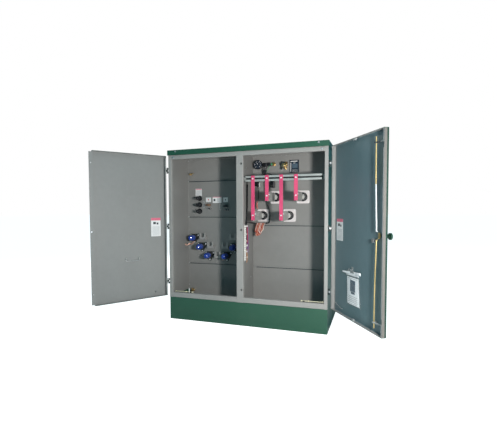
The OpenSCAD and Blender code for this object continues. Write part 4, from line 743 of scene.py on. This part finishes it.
# Single wires: radius in mm, colour and points.
SINGLE_WIRES = (
    (4, "black", ((-24, 250, 1500), (-24, 246, 1460), (-24, 236, 1380), (-24, 230, 1300), (-24, 222, 1220),
                  (-24, 206, 1130), (-21, 186, 1090), (-20, 180, 1070), (-20, 180, 1054))),
    (3, "black", ((-22, 262, 1500), (-23, 258, 1420), (-22, 246, 1300), (-23, 232, 1200), (-20, 214, 1110),
                  (-19, 206, 1056))),
    (4.4, "black", ((36, 446, 1250), (34, 442, 1285), (38, 442, 1312), (46, 446, 1340), (50, 452, 1400),
                    (44, 456, 1450), (38, 458, 1490))),
    (5.2, "wire_red", ((36, 441, 1236), (31, 436, 1262), (31, 436, 1290), (38, 438, 1318))),
    (3.6, "salmon", ((44, 446, 1232), (37, 439, 1250), (34, 437, 1276), (38, 440, 1300))),
    (3, "black", ((64, 462, 1716), (92, 452, 1700), (104, 446, 1660), (108, 446, 1600))),
    (3, "black", ((82, 462, 1722), (98, 448, 1690), (118, 440, 1640), (124, 442, 1600))),
    (3, "black", ((150, 452, 1722), (138, 446, 1690), (132, 442, 1650), (130, 446, 1600))),
    (2.6, "plug_green", ((178, 452, 1716), (160, 444, 1680), (140, 442, 1640), (134, 448, 1600))),
    (3.2, "black", ((126, 440, 1606), (150, 436, 1622), (186, 438, 1624), (206, 450, 1600))),
    (2.6, "plug_green", ((130, 440, 1600), (160, 436, 1612), (178, 440, 1606))),
)
# Hanging loops: offset along X and Z, lowest Z, colour and radius in mm.
LOOPS = ((0, 0, 932, "salmon", 5.8), (8, 3, 944, "wire_pale", 5), (16, 0, 936, "wire_red", 5),
         (26, 2, 940, "salmon", 5.2), (38, 0, 950, "wire_red", 4.5), (-10, 0, 952, "black", 6),
         (44, 2, 962, "wire_pale", 4.5), (4, 4, 956, "wire_red", 4.5))
# Wires down the terminal strip: colour, upper and lower end.
STRIP_WIRES = (("wire_purple", 1050, 880), ("wire_purple", 1050, 800), ("salmon", 1046, 930),
               ("wire_purple", 1048, 760), ("wire_gold", 800, 690), ("wire_gold", 790, 650),
               ("wire_red", 1040, 860))
# Connector bodies: low corner, high corner, colour and edge rounding in mm.
CONNECTORS = (((100.3, 456, 1708), (140, 482, 1748), "black", 4),
              ((150, 458, 1712), (186, 499.6, 1752), "black", 5),
              ((110, 434, 1612), (146, 452, 1668), "black", 5),
              ((-6, 440, 1484), (56, 499.6, 1540), "black", 6),
              ((186, 440, 1470), (232, 499.6, 1540), "black", 6),
              ((186, 472, 1722), (202, 496, 1746), "plug_green", 4),
              ((60, 436, 1478), (66, 452, 1530), "white", 1), ((-2, 434, 1478), (30, 440, 1486), "white", 2))


def run(bm, points, radius, mat):
    """One wire along cabinet points, its radius in mm."""
    tube(bm, spline(route(*points), 6), radius / 1000, 10, WIRES.index(mat))


def main_loom(bm):
    """The main bundle, with three wires wound round its lower half."""
    run(bm, MAIN_LOOM, 6.2, "black")
    for k in range(3):
        wound = [(x + 5 * math.cos(2.1 * k + 0.9 * i),
                  y - 3 + 3 * math.sin(2.1 * k + 0.9 * i),
                  z + 4 * math.sin(2.1 * k + 0.8 * i)) for i, (x, y, z) in enumerate(MAIN_LOOM[9:18])]
        run(bm, wound, 3.4, "black")


def hanging_loops(bm):
    """Spare leads hanging from the bundle, both ends in it."""
    for dx, dz, drop, mat, r in LOOPS:
        y = 392 - dx * 0.5
        run(bm, [(34 + dx, 446, 1068 + dz), (28 + dx, y + 30, 1034), (24 + dx, y + 6, 990),
                 (30 + dx, y - 8, drop + 20), (48 + dx, y - 14, drop), (66 + dx, y - 6, drop + 22),
                 (74 + dx, y + 10, 1000), (78 + dx, y + 34, 1042), (80 + dx, 448, 1068 + dz)], r, mat)


def strip_wires(bm):
    """Coloured wires and white markers down the terminal strip."""
    for k, (mat, z0, z1) in enumerate(STRIP_WIRES):
        x = -14 + (k % 4) * 5
        run(bm, [(x - 6, 206 - k * 3, z0), (x, 200 - k * 4, z0 - 30), (x + 4, 196 - k * 4, (z0 + z1) / 2),
                 (x + 1, 198 - k * 4, z1 + 20), (x - 5, 200 - k * 3, z1)], 3.4, mat)
    for z in (1046, 960, 886, 836, 770, 706):
        block(bm, C(-15, 176, z - 9), C(-3, 196, z + 9), WIRES.index("white"), 0.0015)


def connectors(bm):
    """Connector bodies, the plug's ridges and the latches of the right connector."""
    for lo, hi, mat, bevel in CONNECTORS:
        block(bm, C(*lo), C(*hi), WIRES.index(mat), bevel / 1000)
    for k in range(6):
        block(bm, C(143, 456, 1714 + k * 6), C(150.5, 484, 1717.5 + k * 6), 0, 0.0008)
    for x in (190, 204, 218):
        block(bm, C(x, 436, 1476), C(x + 9, 440.5, 1534), 0, 0.0015)


def wiring_looms():
    bm = bmesh.new()
    main_loom(bm)
    for radius, mat, points in SINGLE_WIRES:
        run(bm, points, radius, mat)
    hanging_loops(bm)
    strip_wires(bm)
    connectors(bm)
    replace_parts(add("wiring_looms", bm, WIRES, "unit"), "wiring_harness")


def braid_strands(bm, line, strands=6, lay=0.0062, twist=0.42):
    """Strands wound round a line."""
    for k in range(strands):
        path = []
        for i, p in enumerate(line):
            along = (line[min(i + 1, len(line) - 1)] - line[max(i - 1, 0)]).normalized()
            a = along.cross(Vector((0, 0, 1))).normalized()
            b = along.cross(a)
            turn = k * 2 * math.pi / strands + i * twist
            path.append(p + lay * (math.cos(turn) * a + math.sin(turn) * b))
        tube(bm, path, 0.0036, 8)


def earth_braid():
    """A stranded earth lead from its boss to the lug under a bushing."""
    lug_x, lug_z = -773, 838
    bm = bmesh.new()
    braid_strands(bm, spline(route((-856, 410, 804), (-842, 408, 797), (-828, 412, 804), (-814, 426, 812),
                                   (-802, 444, 806), (-794, 460, 810), (-788, 471, 820)), 10))
    turned(bm, ((0, 0), (13, 0), (13, 5), (12.5, 6), (0, 6)), C(-860.5, 410, 804), (1, 0, 0))
    ring = ((5.4, 0), (12.8, 0), (13, 0.3), (13, 2.7), (12.8, 3), (5.4, 3), (5.4, 0))
    turned(bm, ring, C(lug_x, 477.4, lug_z), INTO_WALL)
    block(bm, C(lug_x - 20, 468, lug_z - 14), C(lug_x - 8, 480.4, lug_z - 4), 0, 0.002)
    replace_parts(add("earth_braid", bm, "copper_braid", "unit", smooth=True), "earth_strap")


wiring_looms()
earth_braid()


# ------------------------------------------------------------------ instruction bag
def quilt(bm, corners, depth, nx, nz, mat, ripple=0.0, seed=1.0):
    """A soft panel between four corners (x, z), raised from the skin by depth(u, v) mm."""
    (ax, az), (bx, bz), (cx, cz), (dx, dz) = corners
    grid = []
    for j in range(nz + 1):
        v = j / nz
        line = []
        for i in range(nx + 1):
            u = i / nx
            x = (ax * (1 - u) + bx * u) * (1 - v) + (dx * (1 - u) + cx * u) * v
            z = (az * (1 - u) + bz * u) * (1 - v) + (dz * (1 - u) + cz * u) * v
            y = INNER + depth(u, v) + ripple * math.sin(9 * u + seed + 5 * v) * math.sin(7 * v + 2 * seed)
            line.append(bm.verts.new(C(x, y, z)))
        grid.append(line)
    for j in range(nz):
        for i in range(nx):
            face = bm.faces.new((grid[j][i], grid[j][i + 1], grid[j + 1][i + 1], grid[j + 1][i]))
            face.material_index = mat


def thicken(piece, by):
    """Gives an open sheet its thickness, in mm."""
    sol = piece.modifiers.new("thick", "SOLIDIFY")
    sol.thickness = by / 1000


def bag_film():
    """The clear pouch, bulged in its middle."""
    pouch = ((599, 378), (354, 381), (384, 647), (606, 642))

    def bulge(u, v):
        return 2.5 + 10 * (math.sin(math.pi * u) * math.sin(math.pi * v)) ** 0.6

    bm = bmesh.new()
    quilt(bm, pouch, bulge, 20, 22, 0, 0.9)
    quilt(bm, pouch, lambda u, v: 1.0, 4, 4, 0)
    film = add("bag_film", bm, "film", "right_door_body", smooth=True, turn=RIGHT)
    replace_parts(film, "instruction_bag")


def bag_booklet():
    """The booklet in the pouch, with its dark picture and plain rows."""
    bm = bmesh.new()
    page = ((590, 388), (372, 392), (392, 632), (598, 628))
    quilt(bm, page, lambda u, v: 3.0 + 4 * math.sin(math.pi * u), 10, 10, 0, 0.5, 2.0)
    quilt(bm, ((530, 506), (438, 508), (440, 604), (528, 608)), lambda u, v: 8.2, 4, 4, 1, 0.3, 2.0)
    quilt(bm, ((512, 484), (446, 486), (446, 505), (516, 505)), lambda u, v: 8.0, 4, 2, 1, 0.3, 2.0)
    for z in (396, 412, 428, 444, 460, 617):
        quilt(bm, ((570, z), (400, z + 2), (400, z + 6), (570, z + 4)), lambda u, v: 7.6, 6, 1, 2, 0.3, 2.0)
    thicken(add("bag_booklet", bm, ["booklet", "ink_blue", "ink_grey"], "right_door_body",
                turn=RIGHT), 1.2)


def bag_header():
    """The wide stiff flap and the fold of film under it."""
    flap = ((668, 654), (333, 668), (333, 694), (668, 668))
    fold = ((608, 640), (382, 645), (372, 672), (630, 662))
    bm = bmesh.new()
    quilt(bm, flap, lambda u, v: 9 + 12 * abs(u - 0.5) + 2 * math.sin(9 * u), 24, 4, 0, 0.8, 0.5)
    quilt(bm, fold, lambda u, v: 5 + 4 * v, 16, 4, 1, 0.6, 3.0)
    thicken(add("bag_header", bm, ["booklet", "film_white"], "right_door_body", smooth=True,
                turn=RIGHT), 0.8)


def door_wire(name, points):
    """A bent wire on the right door's inner face."""
    bm = bmesh.new()
    tube(bm, spline(route(*points), 6), 0.0022, 8)
    add(name, bm, "zinc", "right_door_body", smooth=True, turn=RIGHT)


bag_film()
bag_booklet()
bag_header()
door_wire("bag_wire", ((548, -31, 676), (546, -25, 694), (534, -24, 706), (520, -24, 700), (516, -24, 690),
                       (506, -23, 700), (496, -24, 690), (490, -24, 700), (478, -24, 706), (466, -25, 694),
                       (464, -31, 676)))
door_wire("door_stay_catch", ((822, -41, 334), (820, -32, 335), (800, -28, 333), (750, -27, 322),
                              (700, -28, 309), (688, -32, 306), (686, -41, 306)))


# ------------------------------------------------------------------ cooling panels: pressed flutes
def panel_flutes():
    """Four rounded flutes on both faces of each cooling panel."""
    panels, pitch, panel_t = 13, 0.110, 0.014
    rows_each, first, row_pitch = 4, 0.022, 0.042
    half_y, half_out, margin_z = 0.013, 0.0035, 0.05
    lo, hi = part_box("cooling_panels")
    bm = bmesh.new()
    for k in range(panels):
        for s in (-1, 1):
            x = (k - (panels - 1) / 2) * pitch + s * (panel_t / 2 - 0.001)
            for j in range(rows_each):
                y = hi.y - first - j * row_pitch
                block(bm, (x - half_out, y - half_y, lo.z + margin_z),
                      (x + half_out, y + half_y, hi.z - margin_z), 0, 0.0034)
    add("panel_flutes", bm, "green", "unit")


panel_flutes()

# ------------------------------------------------------------------ studio
FLOOR_HALF = 60.0
FLOOR_DROP = 0.0005


def pale_floor():
    """A plain pale floor that also glows for the camera, so that it stays white far away."""
    t = Tree("floor_pale")
    t.bsdf.inputs["Roughness"].default_value = 0.9
    tone = t.mix(t.span(t.noise(0.8), 0.3, 0.7), (0.86, 0.86, 0.86), (0.90, 0.90, 0.90))
    t.link(tone, t.bsdf.inputs["Base Color"])
    t.bsdf.inputs["Emission Color"].default_value = (1, 1, 1, 1)
    seen = t.n.new("ShaderNodeLightPath").outputs["Is Camera Ray"]
    t.link(t.math("MULTIPLY", seen, 0.93), t.bsdf.inputs["Emission Strength"])
    bm = bmesh.new()
    bmesh.ops.create_grid(bm, x_segments=1, y_segments=1, size=FLOOR_HALF)
    mesh = bpy.data.meshes.new("floor")
    bm.to_mesh(mesh)
    bm.free()
    mesh.materials.append(t.mat)
    o = bpy.data.objects.new("floor", mesh)
    o.location = (0, 0, -FLOOR_DROP)
    bpy.context.scene.collection.objects.link(o)
    return o


floor = pale_floor()


def studio_world():
    """A cool fill from all round, seen as white by the camera."""
    world = bpy.data.worlds.new("studio")
    bpy.context.scene.world = world
    world.use_nodes = True
    nodes, links = world.node_tree.nodes, world.node_tree.links
    fill = nodes["Background"]
    fill.inputs["Color"].default_value = (0.26, 0.80, 0.98, 1)
    fill.inputs["Strength"].default_value = 0.24
    seen = nodes.new("ShaderNodeBackground")
    seen.inputs["Color"].default_value = (1, 1, 1, 1)
    seen.inputs["Strength"].default_value = 1.0
    rays = nodes.new("ShaderNodeLightPath")
    pick = nodes.new("ShaderNodeMixShader")
    links.new(rays.outputs["Is Camera Ray"], pick.inputs[0])
    links.new(fill.outputs[0], pick.inputs[1])
    links.new(seen.outputs[0], pick.inputs[2])
    links.new(pick.outputs[0], nodes["World Output"].inputs["Surface"])


studio_world()


def lamp(name, at, to, power, size, colour=(1, 1, 1)):
    data = bpy.data.lights.new(name, "AREA")
    data.shape = "DISK"
    data.size = size
    data.energy = power
    data.color = colour
    o = bpy.data.objects.new(name, data)
    o.location = at
    o.rotation_euler = (Vector(to) - Vector(at)).to_track_quat("-Z", "Y").to_euler()
    bpy.context.scene.collection.objects.link(o)
    return o


lamp("key", C(1813, -2430, 1250), C(-100, 200, 1050), 92, 0.28, (1.0, 0.975, 0.96))
lamp("top_soft", (0.6, -1.5, 4.2), (0, -0.4, 1.0), 30, 3.0)
lamp("rear_soft", (-3.0, 4.0, 3.2), (0, 0.3, 0.9), 130, 3.0)
lamp("side_soft", (5.0, 1.5, 2.4), (0.6, 0.2, 0.9), 14, 2.5)


def studio_camera(place, yaw, pitch, roll, lens, shift):
    """Stands the camera at a cabinet place. Turns are in degrees, lens and shift in picture widths."""
    data = bpy.data.cameras.new("camera")
    cam = bpy.data.objects.new("camera", data)
    bpy.context.scene.collection.objects.link(cam)
    yaw, pitch, roll = (math.radians(v) for v in (yaw, pitch, roll))
    ahead = Vector((-math.sin(yaw) * math.cos(pitch), math.cos(yaw) * math.cos(pitch), -math.sin(pitch)))
    level = Vector((math.cos(yaw), math.sin(yaw), 0))
    above = level.cross(ahead)
    right = level * math.cos(roll) + above * math.sin(roll)
    up = above * math.cos(roll) - level * math.sin(roll)
    stand = Matrix((right, up, -ahead)).transposed().to_4x4()
    stand.translation = place
    cam.matrix_world = stand
    data.sensor_width = 36
    data.lens = lens * data.sensor_width
    data.shift_x, data.shift_y = shift
    data.clip_end = 100
    bpy.context.scene.camera = cam


studio_camera(C(1270.484, -3954.433, 1247.36), 21.5119, 2.9325, -0.3929, 0.800511, (0.063726, 0.012445))
bpy.context.scene.view_settings.view_transform = "Standard"
